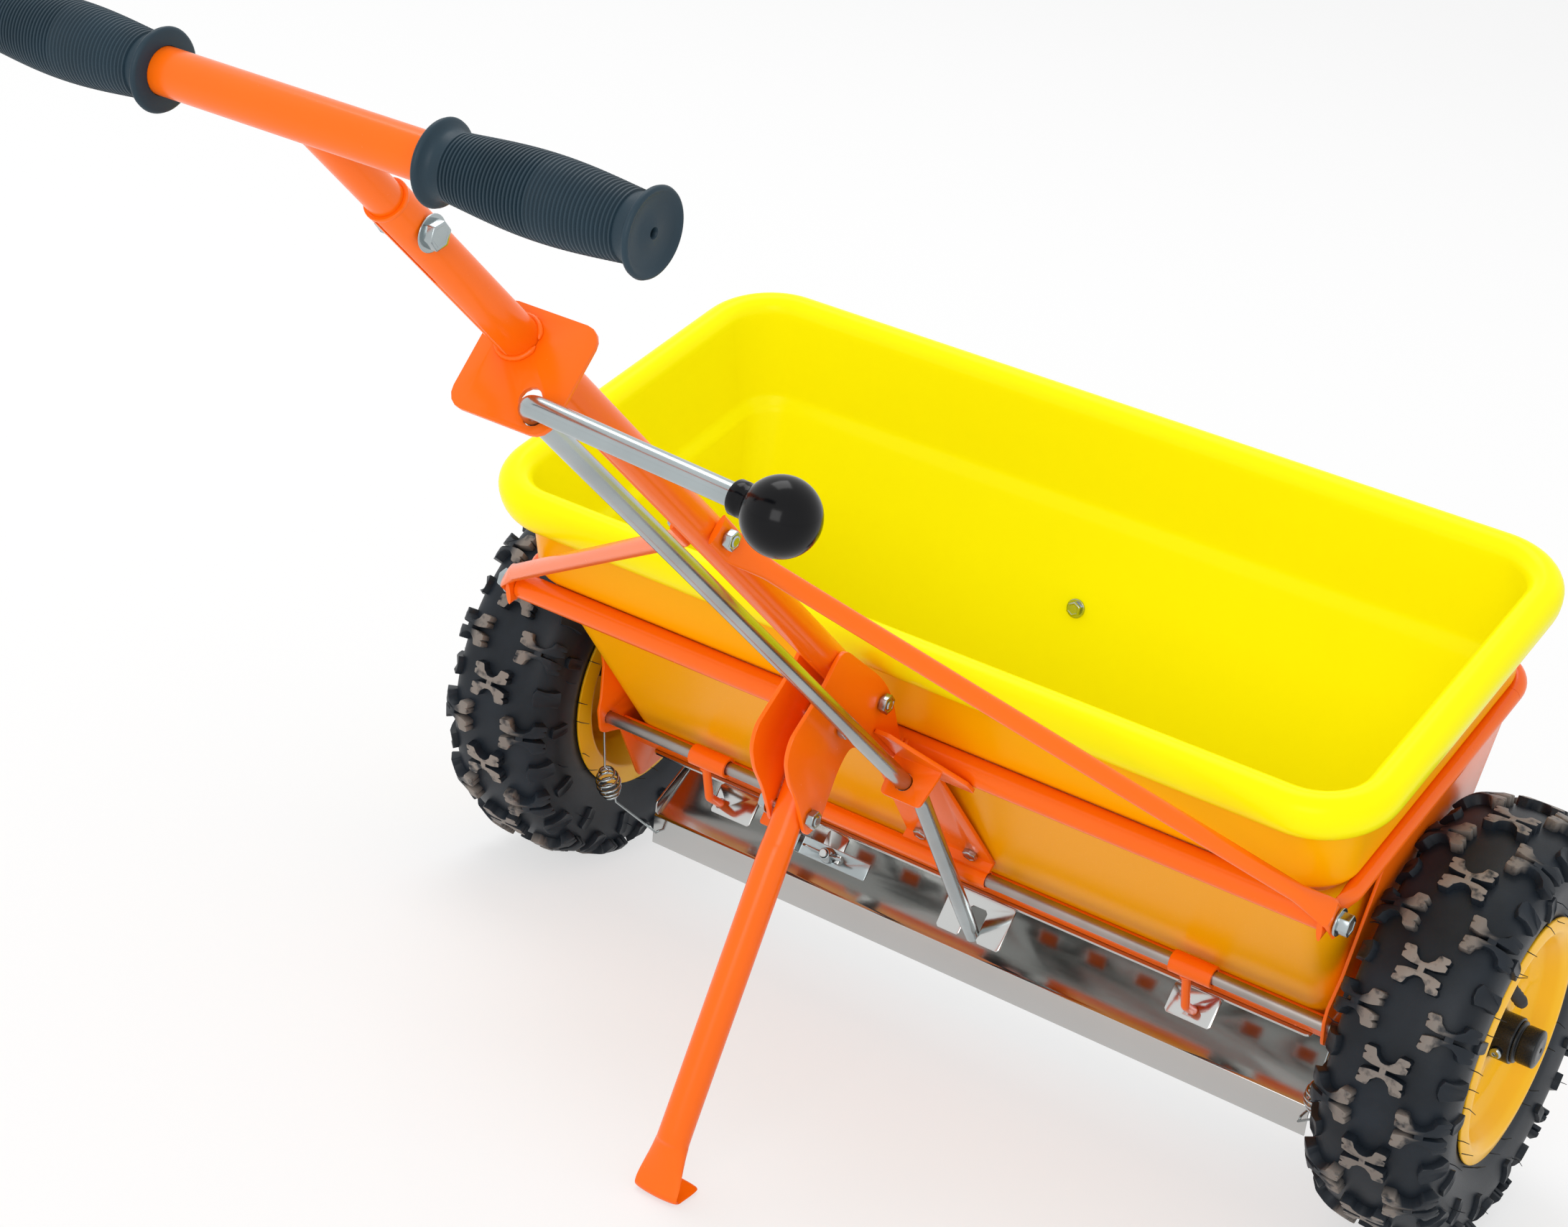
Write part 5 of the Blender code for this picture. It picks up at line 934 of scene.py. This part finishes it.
def make_rails():
    profile = filleted(pipe(-crossbar_half, crossbar_half, crossbar_radius - tube_wall, crossbar_radius), 0.0005)
    turned("crossbar_tube", profile, right, crossbar, 40, "frame", "orange_paint", ["rear_crossbar"])
    joint_y = rail_front_y - rail_corner - 0.004
    for sign, name in both_sides:
        flat_x = sign * rail_flat_x
        points = [(flat_x, crossbar_y - 0.013, crossbar_z), (flat_x, crossbar_y + 0.011, crossbar_z),
                  (sign * rail_x, crossbar_y + 0.028, rail_z), (sign * rail_x, joint_y - gap, rail_z)]
        bm = bmesh.new()
        oval_bar(bm, points, rail_radius, (True, True, False, False))
        build("side_rail_bar_" + name, bm, "frame", "orange_paint", ["side_rail_" + name])
    bm = bmesh.new()
    corners = [(-rail_x, joint_y, rail_z), (-rail_x, rail_front_y, rail_z), (rail_x, rail_front_y, rail_z),
               (rail_x, joint_y, rail_z)]
    sweep(bm, arc_path(corners, rail_corner, 12), rail_radius, 24, up)
    build("front_rail_bar", bm, "frame", "orange_paint", ["front_rail"])


def make_braces():
    high = on_handle(brace_bolt_z)
    fall = (crossbar - high).normalized()
    for sign, name in both_sides:
        top = high + right * sign * (tube_radius + gap + flat_half)
        bottom = crossbar + right * sign * brace_flat_x
        points = [top - fall * 0.011, top + fall * 0.013, top + fall * 0.034 + right * sign * 0.018,
                  bottom - fall * 0.034 - right * sign * 0.020, bottom - fall * 0.013, bottom + fall * 0.011]
        bm = bmesh.new()
        oval_bar(bm, points, rail_radius * 0.94, (True, True, False, False, True, True))
        build("brace_bar_" + name, bm, "frame", "orange_paint", ["brace_" + name])


def make_handle():
    foot = on_handle(handle_foot_z)
    top = on_handle(handle_top_z)
    bore = tube_radius - tube_wall
    profile = filleted(pipe(0, (foot - top).length, bore, tube_radius), 0.0006)
    tube = turned("handle_tube_drawn", profile, handle_down, top, 48, "frame", "orange_paint", ["handle_tube"])
    # The slit below the tube's end, which lets the clamp bolt pinch the tube on the stem
    edge = top + handle_back * tube_radius
    bm = bmesh.new()
    box(bm, (-0.001, -0.006, -0.060), (0.001, 0.006, 0.01), stations([edge, edge - handle_down], right)[0])
    bmesh.ops.transform(bm, matrix=level, verts=bm.verts)
    carve(tube, bm)
    low = top + handle_down * 0.110
    profile = pipe(0, (on_handle(bar_z) - low).length, stem_radius - tube_wall, stem_radius)
    turned("handle_stem_drawn", profile, -handle_down, low, 48, "frame", "orange_paint", ["handle_stem"])
    profile = filleted(pipe(0, 2 * bar_half_length, bore, tube_radius), 0.0005)
    turned("cross_handle", profile, right, bar_centre - right * bar_half_length, 64, "frame", "orange_paint",
           ["t_bar"])
    profile = filleted(pipe(-0.0012, 0.0010, stem_radius - 0.0002, tube_radius + 0.0002), 0.0006)
    turned("tube_lip", profile, handle_down, top, 48, "frame", "orange_paint")


def carve(obj, bm):
    """Takes the shape in bm out of a piece and keeps the result as its mesh."""
    cutter = in_scene("cutter", as_mesh("cutter", bm))
    step = obj.modifiers.new("Cut", "BOOLEAN")
    step.operation = "DIFFERENCE"
    step.solver = "EXACT"
    step.object = cutter
    bpy.context.view_layer.update()
    result = bpy.data.meshes.new_from_object(obj.evaluated_get(bpy.context.evaluated_depsgraph_get()))
    obj.modifiers.remove(step)
    obj.data = result
    bpy.data.objects.remove(cutter, do_unlink=True)


def make_grips(settings):
    inner = bar_half_length - grip_length + 0.0045
    bore = tube_radius + gap
    profile = [(0.0, bore), (0.0, 0.0180), (0.0006, 0.0191), (0.0017, 0.0196), (0.0028, 0.0192), (0.0034, 0.0181),
               (0.0042, 0.0164), (0.0054, 0.0152), (0.0070, 0.0147), (0.0090, 0.0146)]
    start = 0.0105
    span = grip_length - 2 * start
    step = span / settings.ribs
    for k in range(settings.ribs):
        share = k / settings.ribs
        swell = 0.0145 + 0.0031 * math.sin(math.pi * share) ** 1.1
        x = start + span * share
        profile += [(x, swell), (x + step * 0.22, swell + settings.rib_height),
                    (x + step * 0.62, swell + settings.rib_height), (x + step * 0.84, swell)]
    # The outer flange and dished end, measured from the grip's length
    outer_end = [(-0.0092, 0.0147), (-0.0070, 0.0148), (-0.0052, 0.0153), (-0.0040, 0.0166), (-0.0032, 0.0185),
                 (-0.0026, 0.0193), (-0.0014, 0.0197), (-0.0003, 0.0192), (0.0002, 0.0183), (-0.0003, 0.0172),
                 (-0.0016, 0.0150), (-0.0018, 0.0080), (-0.0006, 0.0026), (-0.0016, 0.0019), (-0.0044, 0.0019),
                 (-0.0044, bore)]
    profile += [(grip_length + x, radius) for x, radius in outer_end]
    for sign, name in both_sides:
        turned("ribbed_grip_" + name, profile, right * sign, bar_centre + right * sign * inner, 64, "frame",
               "grip_rubber", ["grip_" + name], 60)


def ear_outline():
    """The ear plate's outline as (y, z): a lens for the leg, running forward along the handle's foot."""
    foot = on_handle(handle_bolt_z)
    top = on_handle(ear_top_z)
    rear = stand_top + Vector((0, -0.058, 0.011))
    bar = Vector((0, crossbar_y - crossbar_radius, crossbar_z))
    # Corners as a point and how far they stand from it, in centimetres
    corners = [
        (top, 0.6, 0.3), (top, -1.6, -1.5), (rear, 0.6, 1.3), (rear, 0, 0), (rear, 0.2, -1.8),
        (rear, 1.0, -3.8), (stand_low, -0.4, -1.4), (stand_low, 1.2, -1.2), (stand_top, -0.4, -3.2),
        (stand_top, 1.0, -2.2), (bar, -0.35, -0.2), (bar, -0.35, 1.0), (foot, 1.0, 0.8),
    ]
    return [(point.y + 0.010 * y, point.z + 0.010 * z) for point, y, z in corners]


def make_stand():
    outline = filleted(ear_outline(), 0.030, 6)
    for sign, name in both_sides:
        x = sign * (tube_radius + gap + sheet / 2) - sheet / 2
        bm = bmesh.new()
        face = bm.faces.new([bm.verts.new((x, y, z)) for y, z in outline])
        raised = bmesh.ops.extrude_face_region(bm, geom=[face])["geom"]
        bmesh.ops.translate(bm, verts=of_kind(raised, bmesh.types.BMVert), vec=(sheet, 0, 0))
        round_edges(bm, sharp_edges(bm, 60), 0.0005)
        build("stand_ear_plate_" + name, bm, "frame", "orange_paint", ["stand_ear_" + name], 30)
    flat = Vector((0, math.cos(park_angle), -math.sin(park_angle)))
    lift = Vector((0, math.sin(park_angle), math.cos(park_angle)))
    sole = leg_end + lift * (foot_thickness / 2 + gap)
    top = stand_top - stand_down * 0.012
    # Points of the leg with its half width and half thickness there
    line = [(top, leg_radius * 0.96, leg_radius * 0.8),
            (top + stand_down * 0.085, leg_radius * 0.96, leg_radius * 0.8),
            (top + stand_down * 0.115, leg_radius, leg_radius),
            (sole - stand_down * 0.058, leg_radius, leg_radius),
            (sole - stand_down * 0.034, leg_radius * 1.12, leg_radius * 0.72),
            (sole - stand_down * 0.012, foot_half_width * 0.97, foot_thickness * 0.62),
            (sole - stand_down * 0.003 + flat * 0.0006, foot_half_width, foot_thickness * 0.56)]
    for share in (0.16, 0.35, 0.7, 0.93, 1.0):
        wide = foot_half_width * (1 - 0.15 * share ** 3) * (0.93 if share == 1.0 else 1)
        line.append((sole + flat * foot_length * share, wide, foot_thickness / 2 * (0.7 if share == 1.0 else 1)))
    fine = [tuple(v) for v in eased([(*point, wide, thick) for point, wide, thick in line], 5)]
    bm = bmesh.new()
    sweep(bm, [v[:3] for v in fine], [v[3:] for v in fine], 32, right)
    build("stand_leg_drawn", bm, "frame", "orange_paint", ["stand_leg"], 50)


def make_sheets():
    for node in ("gate_plate", "centre_bracket", "front_stay", "bottom_plate", "side_plate_left", "side_plate_right",
                 "centre_gusset"):
        softened(node, "frame", "orange_paint", 0.0004)
    softened("shutter_plate", "shutter", "stainless", 0.0003)
    softened("rate_stop", "stop", "zinc", 0.0003)
    softened("deflector_tray", "tray", "stainless", 0.0003)
    bm = bmesh.new()
    reach = tube_radius + 0.0008
    for way in (-1, 1):
        middle = on_handle(gate_plate_z) + handle_down * way * (sheet / 2 + 0.0006)
        bead(bm, circle_points(middle, right * reach, handle_back * reach, 8, 350, 24), 0.0017, way)
    build("gate_plate_weld", bm, "frame", "orange_paint")
    bm = bmesh.new()
    reach = crossbar_radius + 0.0010
    for sign in (-1, 1):
        for side, seed in ((-1, 1.0), (1, 5.0)):
            x = sign * (tube_radius + gap + sheet / 2) + side * (sheet / 2 + 0.0003)
            arc = circle_points(crossbar + right * x, Vector((0, reach, 0)), up * reach, 118, 232, 10)
            bead(bm, arc, 0.0016, seed)
    under = crossbar + Vector((0, -0.0024, -crossbar_radius - 0.0003))
    bead(bm, [under + right * x for x in (-0.025, -0.01, 0.01, 0.025)], 0.0017, 9.0)
    behind = crossbar + handle_back * (crossbar_radius + 0.0012) + handle_down * 0.0066
    bead(bm, [behind + right * x for x in (0.017, 0.03, 0.045, 0.064)], 0.0015, 13.0)
    build("frame_welds", bm, "frame", "orange_paint")


def make_slide():
    end = plate_face + guide_overhang
    guide = Vector((0, guide_y, guide_z))
    turned("guide_shaft_turned", filleted(pipe(-end, end, core, guide_radius), 0.0009), right, guide, 32, "frame",
           "rolled_steel", ["guide_shaft"])
    bore = guide_radius + 0.0005
    collar = filleted(pipe(-sleeve_half_length, sleeve_half_length, bore, sleeve_radius), 0.0007)
    reach = hook_radius + 0.0006
    for sign, name in both_sides:
        x = sign * sleeve_x
        bm = bmesh.new()
        lathe(bm, collar, right, guide + right * (x + shutter_shift), 40)
        hook_x = x - 0.0050 + shutter_shift
        hole = on_tab(hook_x, 0.0149)
        neck = Vector((hook_x, guide_y, guide_z - (sleeve_radius + guide_radius) / 2 - gap))
        rise = (neck.y + 0.002 - hole.y) / tab_out.y
        points = [neck, hole + tab_out * rise, hole - tab_out * 0.006]
        sweep(bm, arc_path(points, 0.006, 10), hook_radius, 20)
        ring = circle_points(neck - up * 0.0018, right * reach, Vector((0, reach, 0)), 0, 360, 14)
        bead(bm, ring, 0.0010, x * 50)
        build("sleeve_hook_" + name, bm, "shutter", "orange_paint", ["slide_sleeve_" + name])


def make_lever():
    """The lever's rod from its knob over the arm and the long shank to the crank, and the knob."""
    turn = Matrix((right, handle_back, handle_down)).transposed().to_4x4()
    place = Matrix.Translation(rod_top) @ turn
    arm_way = Vector((math.cos(arm_angle), math.sin(arm_angle), 0))
    crank_way = Vector((math.cos(crank_angle), math.sin(crank_angle), 0))
    bend = rod_top_rise + rod_bend_along
    points = [arm_way * (arm_length - knob_radius * 0.6), Vector(), Vector((0, 0, bend)),
              crank_way * crank_offset + Vector((0, 0, bend + crank_drop))]
    line = [place @ p for p in arc_path(points, arm_bend, 12)]
    bm = bmesh.new()
    fine = [line[0]]
    for a, b in zip(line, line[1:]):
        cuts = max(int((b - a).length / 0.03), 1)
        fine += [a.lerp(b, (k + 1) / cuts) for k in range(cuts)]
    sweep(bm, fine, [(rod_radius, rod_radius)] * (len(fine) - 1) + [(rod_radius * 0.9, rod_radius * 0.9)], 28)
    build("lever_rod_bent", bm, "lever", "zinc", ["lever_rod"])
    way = (turn.to_3x3() @ arm_way).normalized()
    centre = place @ (arm_way * arm_length)
    ball = knob_radius
    bore = rod_radius + gap
    profile = [(ball * 0.3, bore), (-ball - 0.007, bore), (-ball - 0.007, 0.0082), (-ball - 0.0062, 0.0088),
               (-ball - 0.0016, 0.0088), (-ball - 0.0004, 0.0082)]
    start = math.asin(0.0084 / ball)
    for k in range(33):
        a = start + (math.pi - start) * k / 32
        profile.append((-ball * math.cos(a), max(ball * math.sin(a), 0.00005)))
    profile += [(ball * 0.3, 0.00005)]
    bm = bmesh.new()
    lathe(bm, profile, way, centre, 64)
    build("ball_knob", bm, "lever", "black_plastic", ["lever_knob"], 45)


def make_wing_nut():
    seat = on_tab(stop_tab_x, stop_stud_reach, shutter_sheet / 2 + 2 * gap + stop_sheet)
    turn = Matrix((right, tab_out.cross(right), tab_out)).transposed().to_4x4()
    place = Matrix.Translation(seat) @ turn
    bm = bmesh.new()
    bore = small_bolt + gap
    profile = [(0, bore), (0, 0.0062), (0.0060, 0.0050), (0.008, 0.0042), (0.008, bore)]
    lathe(bm, filleted(profile, 0.0006), up, Vector(), 32)
    for sign in (-1, 1):
        knots = [(sign * 0.0038, 0, 0.0030, 0.0030, 0.0014), (sign * 0.0080, 0, 0.0058, 0.0034, 0.0013),
                 (sign * 0.0115, 0, 0.0086, 0.0041, 0.0012), (sign * 0.0138, 0, 0.0115, 0.0039, 0.0011),
                 (sign * 0.0150, 0, 0.0135, 0.0022, 0.0009)]
        fine = [tuple(v) for v in eased(knots, 4)]
        sweep(bm, [v[:3] for v in fine], [(v[4], v[3]) for v in fine], 20, Vector((0, 1, 0)))
    bmesh.ops.transform(bm, matrix=place, verts=bm.verts)
    build("wing_nut_cast", bm, "nut", "zinc", ["wing_nut"])


def spring_line(sign):
    """The wire's line: a hook on the guide shaft's end, curls that swell and shrink, a hook in the tray's lip."""
    top = Vector((sign * (plate_face + guide_overhang / 2), guide_y, guide_z - guide_radius - gap))
    coil_top = Vector((sign * side_plate_x, guide_y - 0.0075, guide_z - 0.0455))
    hook = Vector((sign * tray_hook.x, tray_hook.y, tray_hook.z)) + tray_lip * (0.00075 + gap)
    axis = Vector((0, 0.16, -1)).normalized()
    across = (right - axis * axis.x).normalized()
    upward = axis.cross(across)
    points = [top + Vector((0, 0.0052, 0.0056)), top + Vector((0, 0.0066, 0.0016)),
              top + Vector((0, 0.0040, -0.0006)), top, top - Vector((0, 0, 0.0018)), coil_top - axis * 0.0018]
    count = spring_turns * 20
    for i in range(count + 1):
        t = i / count
        a = 2 * math.pi * spring_turns * t
        r = spring_end_radius + spring_swell * math.sin(math.pi * t) ** 0.8
        fall = axis * spring_pitch * spring_turns * t
        points.append(coil_top + fall + across * r * math.cos(a) + upward * r * math.sin(a))
    points += [points[-1] + axis * 0.0036, hook + tray_lip * 0.0027, hook, hook - tray_lip * 0.0040]
    return points


def make_springs():
    for sign, name in both_sides:
        points = spring_line(sign)
        bm = bmesh.new()
        sweep(bm, points, spring_wire, 8)
        bmesh.ops.transform(bm, matrix=level, verts=bm.verts)
        obj = piece("tray_spring_coil_" + name, bm, "frame", "zinc", ["tray_spring_" + name], 60)
        obj.parent = None
        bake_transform(obj)


def bolt(name, node, seat, axis, grip, radius=small_bolt, flats=small_flats, head=small_head, nut=True,
         washer=0.0):
    """A hexagon bolt: chamfered head on its washer, shank, and a nut with the thread's end in it."""
    bm = bmesh.new()
    if washer:
        lathe(bm, filleted(pipe(-washer, 0, radius, flats * 0.72), 0.0004), axis, seat, 32)
    hexagon(bm, seat - axis * washer, -axis, flats, head)
    lathe(bm, pipe(0, grip, core, radius), axis, seat, 24)
    if nut:
        end = seat + axis * grip
        hexagon(bm, end, axis, flats, head * 0.86)
        thread = [(0.0, core), (0.0, radius)]
        for k in range(5):
            thread.append((head * (0.72 + 0.055 * k), radius * (0.98 if k % 2 else 0.86)))
        thread += [(head, radius * 0.75), (head, core)]
        lathe(bm, thread, axis, end, 24)
    build(name, bm, "frame", "zinc", [node])


def make_fasteners():
    ears = tube_radius + gap + sheet + gap
    wide = tube_radius + 2 * flat_half + 2 * gap
    across = [("clamp_bolt", on_handle(clamp_bolt_z), tube_radius + gap, 1, 0.0130),
              ("brace_bolt", on_handle(brace_bolt_z), wide, -1, 0.0110),
              ("handle_bolt", on_handle(handle_bolt_z), ears, -1, 0.0120),
              ("stand_bolt_upper", stand_top, ears, -1, 0.0110), ("stand_bolt_lower", stand_low, ears, -1, 0.0110)]
    for node, point, reach, way, flats in across:
        bolt(node + "_hex", node, point + right * reach * way, -right * way, 2 * reach + 0.001, 0.0036, flats,
             0.0052, washer=0.0010)
    for sign, name in both_sides:
        out = right * sign
        seat = crossbar + out * (brace_flat_x + flat_half + gap)
        bolt("corner_bolt_hex_" + name, "corner_bolt_" + name, seat, -out, 0.020, 0.004, 0.013, 0.0070, False,
             washer=0.0016)
        seat = out * (plate_face + gap) + Vector((0, tray_pin_y, tray_pin_z))
        bolt("tray_pin_hex_" + name, "tray_pin_" + name, seat, -out, 0.0225, 0.003, 0.009, 0.0035, False)
        gusset_screw("gusset_screw_" + name)
    normal = Vector((0, -1, -rear_slope)).normalized()
    seat = Vector((-0.1285, rear_wall(-0.0085), -0.0085)) + normal * (thin_sheet + 2 * gap)
    bolt("plate_bolt_hex", "plate_bolt", seat, -normal, 0.0063, nut=False)
    forward = Vector((0, 1, -rear_slope)).normalized()
    seat = Vector((-0.012, 2 * hopper_forward - rear_wall(0.119), 0.119)) - forward * (hopper_wall + gap)
    bolt("front_stay_bolt_hex", "front_stay_bolt", seat, forward, hopper_wall + sheet + 4 * gap, washer=0.0012)


def gusset_screw(node):
    """A gusset screw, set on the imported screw's own line."""
    low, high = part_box(node)
    middle = level.inverted() @ ((Vector(low) + Vector(high)) / 2)
    out = Vector((0, -1, -0.36)).normalized()
    bolt(node + "_hex", node, middle + out * 0.0045, -out, 0.009)


def seen_directly(tree):
    """An output that is 1 for rays straight from the camera, mirrored or let through, and 0 for the rest."""
    rays = add_node(tree, "LightPath")
    most = rays.outputs["Is Camera Ray"]
    for kind in ("Is Glossy Ray", "Is Transmission Ray"):
        either = add_node(tree, "Math")
        either.operation = "MAXIMUM"
        tree.links.new(most, either.inputs[0])
        tree.links.new(rays.outputs[kind], either.inputs[1])
        most = either.outputs["Value"]
    return most


def mixed(tree, share, first, second, target):
    """Mixes two shaders, given by their outputs, into the target."""
    mix = add_node(tree, "MixShader")
    for entry, source in enumerate((share, first, second)):
        tree.links.new(source, mix.inputs[entry])
    link(tree, mix, "Shader", tree.nodes[target], "Surface")


def make_floor(colour):
    """A pale floor, which the camera and mirrors see half veiled in white."""
    bm = bmesh.new()
    bmesh.ops.create_grid(bm, x_segments=1, y_segments=1, size=floor_half)
    mesh = as_mesh("floor", bm)
    floor = in_scene("floor", mesh)
    made = bpy.data.materials.new("floor")
    made.use_nodes = True
    tree = made.node_tree
    shader = tree.nodes["Principled BSDF"]
    shader.inputs["Base Color"].default_value = (*colour, 1)
    shader.inputs["Roughness"].default_value = 0.9
    shader.inputs["Specular IOR Level"].default_value = 0.1
    bright = add_node(tree, "Emission", Color=(1, 1, 1, 1), Strength=1.0)
    veil = add_node(tree, "Math")
    veil.operation = "MULTIPLY"
    tree.links.new(seen_directly(tree), veil.inputs[0])
    veil.inputs[1].default_value = floor_veil
    mixed(tree, veil.outputs["Value"], shader.outputs["BSDF"], bright.outputs["Emission"], "Material Output")
    mesh.materials.append(made)


def make_world(strength):
    """White light from all round, which the camera and mirrors see as plain white."""
    world = bpy.data.worlds.new("studio")
    world.use_nodes = True
    tree = world.node_tree
    sky = tree.nodes["Background"]
    sky.inputs["Color"].default_value = (1, 1, 1, 1)
    sky.inputs["Strength"].default_value = strength
    white = add_node(tree, "Background", Color=(1, 1, 1, 1), Strength=1.0)
    mixed(tree, seen_directly(tree), sky.outputs["Background"], white.outputs["Background"], "World Output")
    bpy.context.scene.world = world


def make_lamp(name, place, size, power):
    """A square lamp that looks at the machine."""
    lamp = bpy.data.lights.new(name, "AREA")
    lamp.size = size
    lamp.energy = power
    obj = in_scene(name, lamp)
    obj.location = place
    obj.rotation_euler = (lamp_target - Vector(place)).to_track_quat("-Z", "Y").to_euler()


def make_camera():
    """The photograph's camera, and its plain colours."""
    camera = bpy.data.cameras.new("camera")
    camera.sensor_fit = "HORIZONTAL"
    camera.sensor_width = 36.0
    camera.lens = picture_focus / picture_width * 36
    camera.shift_x = (picture_width / 2 - picture_centre[0]) / picture_width
    camera.shift_y = (picture_centre[1] - picture_height / 2) / picture_width
    camera.clip_end = 50
    obj = in_scene("camera", camera)
    turn = Matrix((camera_right, -camera_down, -camera_forward)).transposed().to_4x4()
    obj.matrix_world = level @ Matrix.Translation(camera_place) @ turn
    scene = bpy.context.scene
    scene.camera = obj
    scene.view_settings.view_transform = "Standard"


# Operators, panel and settings

class SPREADER_OT_finishes(bpy.types.Operator):
    """Make the finishes that all pieces share"""
    bl_idname = "spreader.finishes"
    bl_label = "Finishes"

    def execute(self, context):
        make_finishes(context.scene.spreader_finish)
        return {"FINISHED"}


class SPREADER_OT_hopper(bpy.types.Operator):
    """Mould the hopper with its shoulder and rolled rim"""
    bl_idname = "spreader.hopper"
    bl_label = "Hopper"

    def execute(self, context):
        make_hopper()
        return {"FINISHED"}


class SPREADER_OT_wheels(bpy.types.Operator):
    """Tyres, tubes, rims and hubs"""
    bl_idname = "spreader.wheels"
    bl_label = "Wheels"

    def execute(self, context):
        settings = context.scene.spreader_wheels
        noise.seed_set(7)
        for sign, name, body in wheel_sides:
            make_tyre(sign, name, body, settings.whiskers)
            make_inner_tube(sign, name, body)
            make_rim(sign, name, body, settings.creases)
        make_hubs()
        return {"FINISHED"}


class SPREADER_OT_axle(bpy.types.Operator):
    """Axle, bushes and agitator"""
    bl_idname = "spreader.axle"
    bl_label = "Axle"

    def execute(self, context):
        make_axle()
        return {"FINISHED"}


class SPREADER_OT_rails(bpy.types.Operator):
    """Crossbar, side rails and front rail"""
    bl_idname = "spreader.rails"
    bl_label = "Rails"

    def execute(self, context):
        make_rails()
        return {"FINISHED"}


class SPREADER_OT_handle(bpy.types.Operator):
    """Tube, stem and cross handle"""
    bl_idname = "spreader.handle"
    bl_label = "Handle"

    def execute(self, context):
        make_handle()
        return {"FINISHED"}


class SPREADER_OT_grips(bpy.types.Operator):
    """The two ribbed grips"""
    bl_idname = "spreader.grips"
    bl_label = "Grips"

    def execute(self, context):
        make_grips(context.scene.spreader_grips)
        return {"FINISHED"}


class SPREADER_OT_braces(bpy.types.Operator):
    """The handle's two braces"""
    bl_idname = "spreader.braces"
    bl_label = "Braces"

    def execute(self, context):
        make_braces()
        return {"FINISHED"}


class SPREADER_OT_stand(bpy.types.Operator):
    """Ears and leg"""
    bl_idname = "spreader.stand"
    bl_label = "Stand"

    def execute(self, context):
        make_stand()
        return {"FINISHED"}


class SPREADER_OT_sheets(bpy.types.Operator):
    """Plates, brackets, tray and their welds"""
    bl_idname = "spreader.sheets"
    bl_label = "Sheet parts"

    def execute(self, context):
        make_sheets()
        return {"FINISHED"}


class SPREADER_OT_slide(bpy.types.Operator):
    """Guide shaft and the shutter's sleeves"""
    bl_idname = "spreader.slide"
    bl_label = "Slide"

    def execute(self, context):
        make_slide()
        return {"FINISHED"}


class SPREADER_OT_lever(bpy.types.Operator):
    """Lever rod and knob"""
    bl_idname = "spreader.lever"
    bl_label = "Lever"

    def execute(self, context):
        make_lever()
        return {"FINISHED"}


class SPREADER_OT_wing_nut(bpy.types.Operator):
    """The rate stop's wing nut"""
    bl_idname = "spreader.wing_nut"
    bl_label = "Wing nut"

    def execute(self, context):
        make_wing_nut()
        return {"FINISHED"}


class SPREADER_OT_springs(bpy.types.Operator):
    """The tray's two springs"""
    bl_idname = "spreader.springs"
    bl_label = "Springs"

    def execute(self, context):
        make_springs()
        return {"FINISHED"}


class SPREADER_OT_fasteners(bpy.types.Operator):
    """Bolts, screws and pins"""
    bl_idname = "spreader.fasteners"
    bl_label = "Fasteners"

    def execute(self, context):
        make_fasteners()
        return {"FINISHED"}


class SPREADER_OT_stage(bpy.types.Operator):
    """Floor, lamps, world and camera"""
    bl_idname = "spreader.stage"
    bl_label = "Stage"

    def execute(self, context):
        settings = context.scene.spreader_stage
        make_floor(settings.floor)
        make_world(settings.sky)
        make_lamp("key", key_place, key_size, settings.key)
        make_lamp("fill", fill_place, fill_size, settings.fill)
        make_camera()
        return {"FINISHED"}


# In the order in which they run
groups = [SPREADER_OT_finishes, SPREADER_OT_hopper, SPREADER_OT_wheels, SPREADER_OT_axle, SPREADER_OT_rails,
          SPREADER_OT_handle, SPREADER_OT_grips, SPREADER_OT_braces, SPREADER_OT_stand, SPREADER_OT_sheets,
          SPREADER_OT_slide, SPREADER_OT_lever, SPREADER_OT_wing_nut, SPREADER_OT_springs,
          SPREADER_OT_fasteners, SPREADER_OT_stage]


class SPREADER_PT_pieces(bpy.types.Panel):
    """Lists the spreader's pieces and their settings"""
    bl_idname = "SPREADER_PT_pieces"
    bl_label = "Spreader"
    bl_space_type = "VIEW_3D"
    bl_region_type = "UI"
    bl_category = "Spreader"

    def draw(self, context):
        for group in groups:
            self.layout.operator(group.bl_idname)
        for settings in ("spreader_finish", "spreader_wheels", "spreader_grips", "spreader_stage"):
            values = getattr(context.scene, settings)
            for name in values.bl_rna.properties.keys():
                if name not in ("rna_type", "name"):
                    self.layout.prop(values, name)


setting_groups = {"spreader_finish": FinishSettings, "spreader_wheels": WheelSettings,
                  "spreader_grips": GripSettings, "spreader_stage": StageSettings}


def register():
    for name, group in setting_groups.items():
        bpy.utils.register_class(group)
        setattr(bpy.types.Scene, name, PointerProperty(type=group))
    for group in groups:
        bpy.utils.register_class(group)
    bpy.utils.register_class(SPREADER_PT_pieces)


def unregister():
    bpy.utils.unregister_class(SPREADER_PT_pieces)
    for group in reversed(groups):
        bpy.utils.unregister_class(group)
    for name, group in setting_groups.items():
        delattr(bpy.types.Scene, name)
        bpy.utils.unregister_class(group)


def main():
    register()
    for group in groups:
        getattr(bpy.ops.spreader, group.bl_idname.split(".")[1])()
    bpy.context.view_layer.update()


if __name__ == "__main__":
    main()
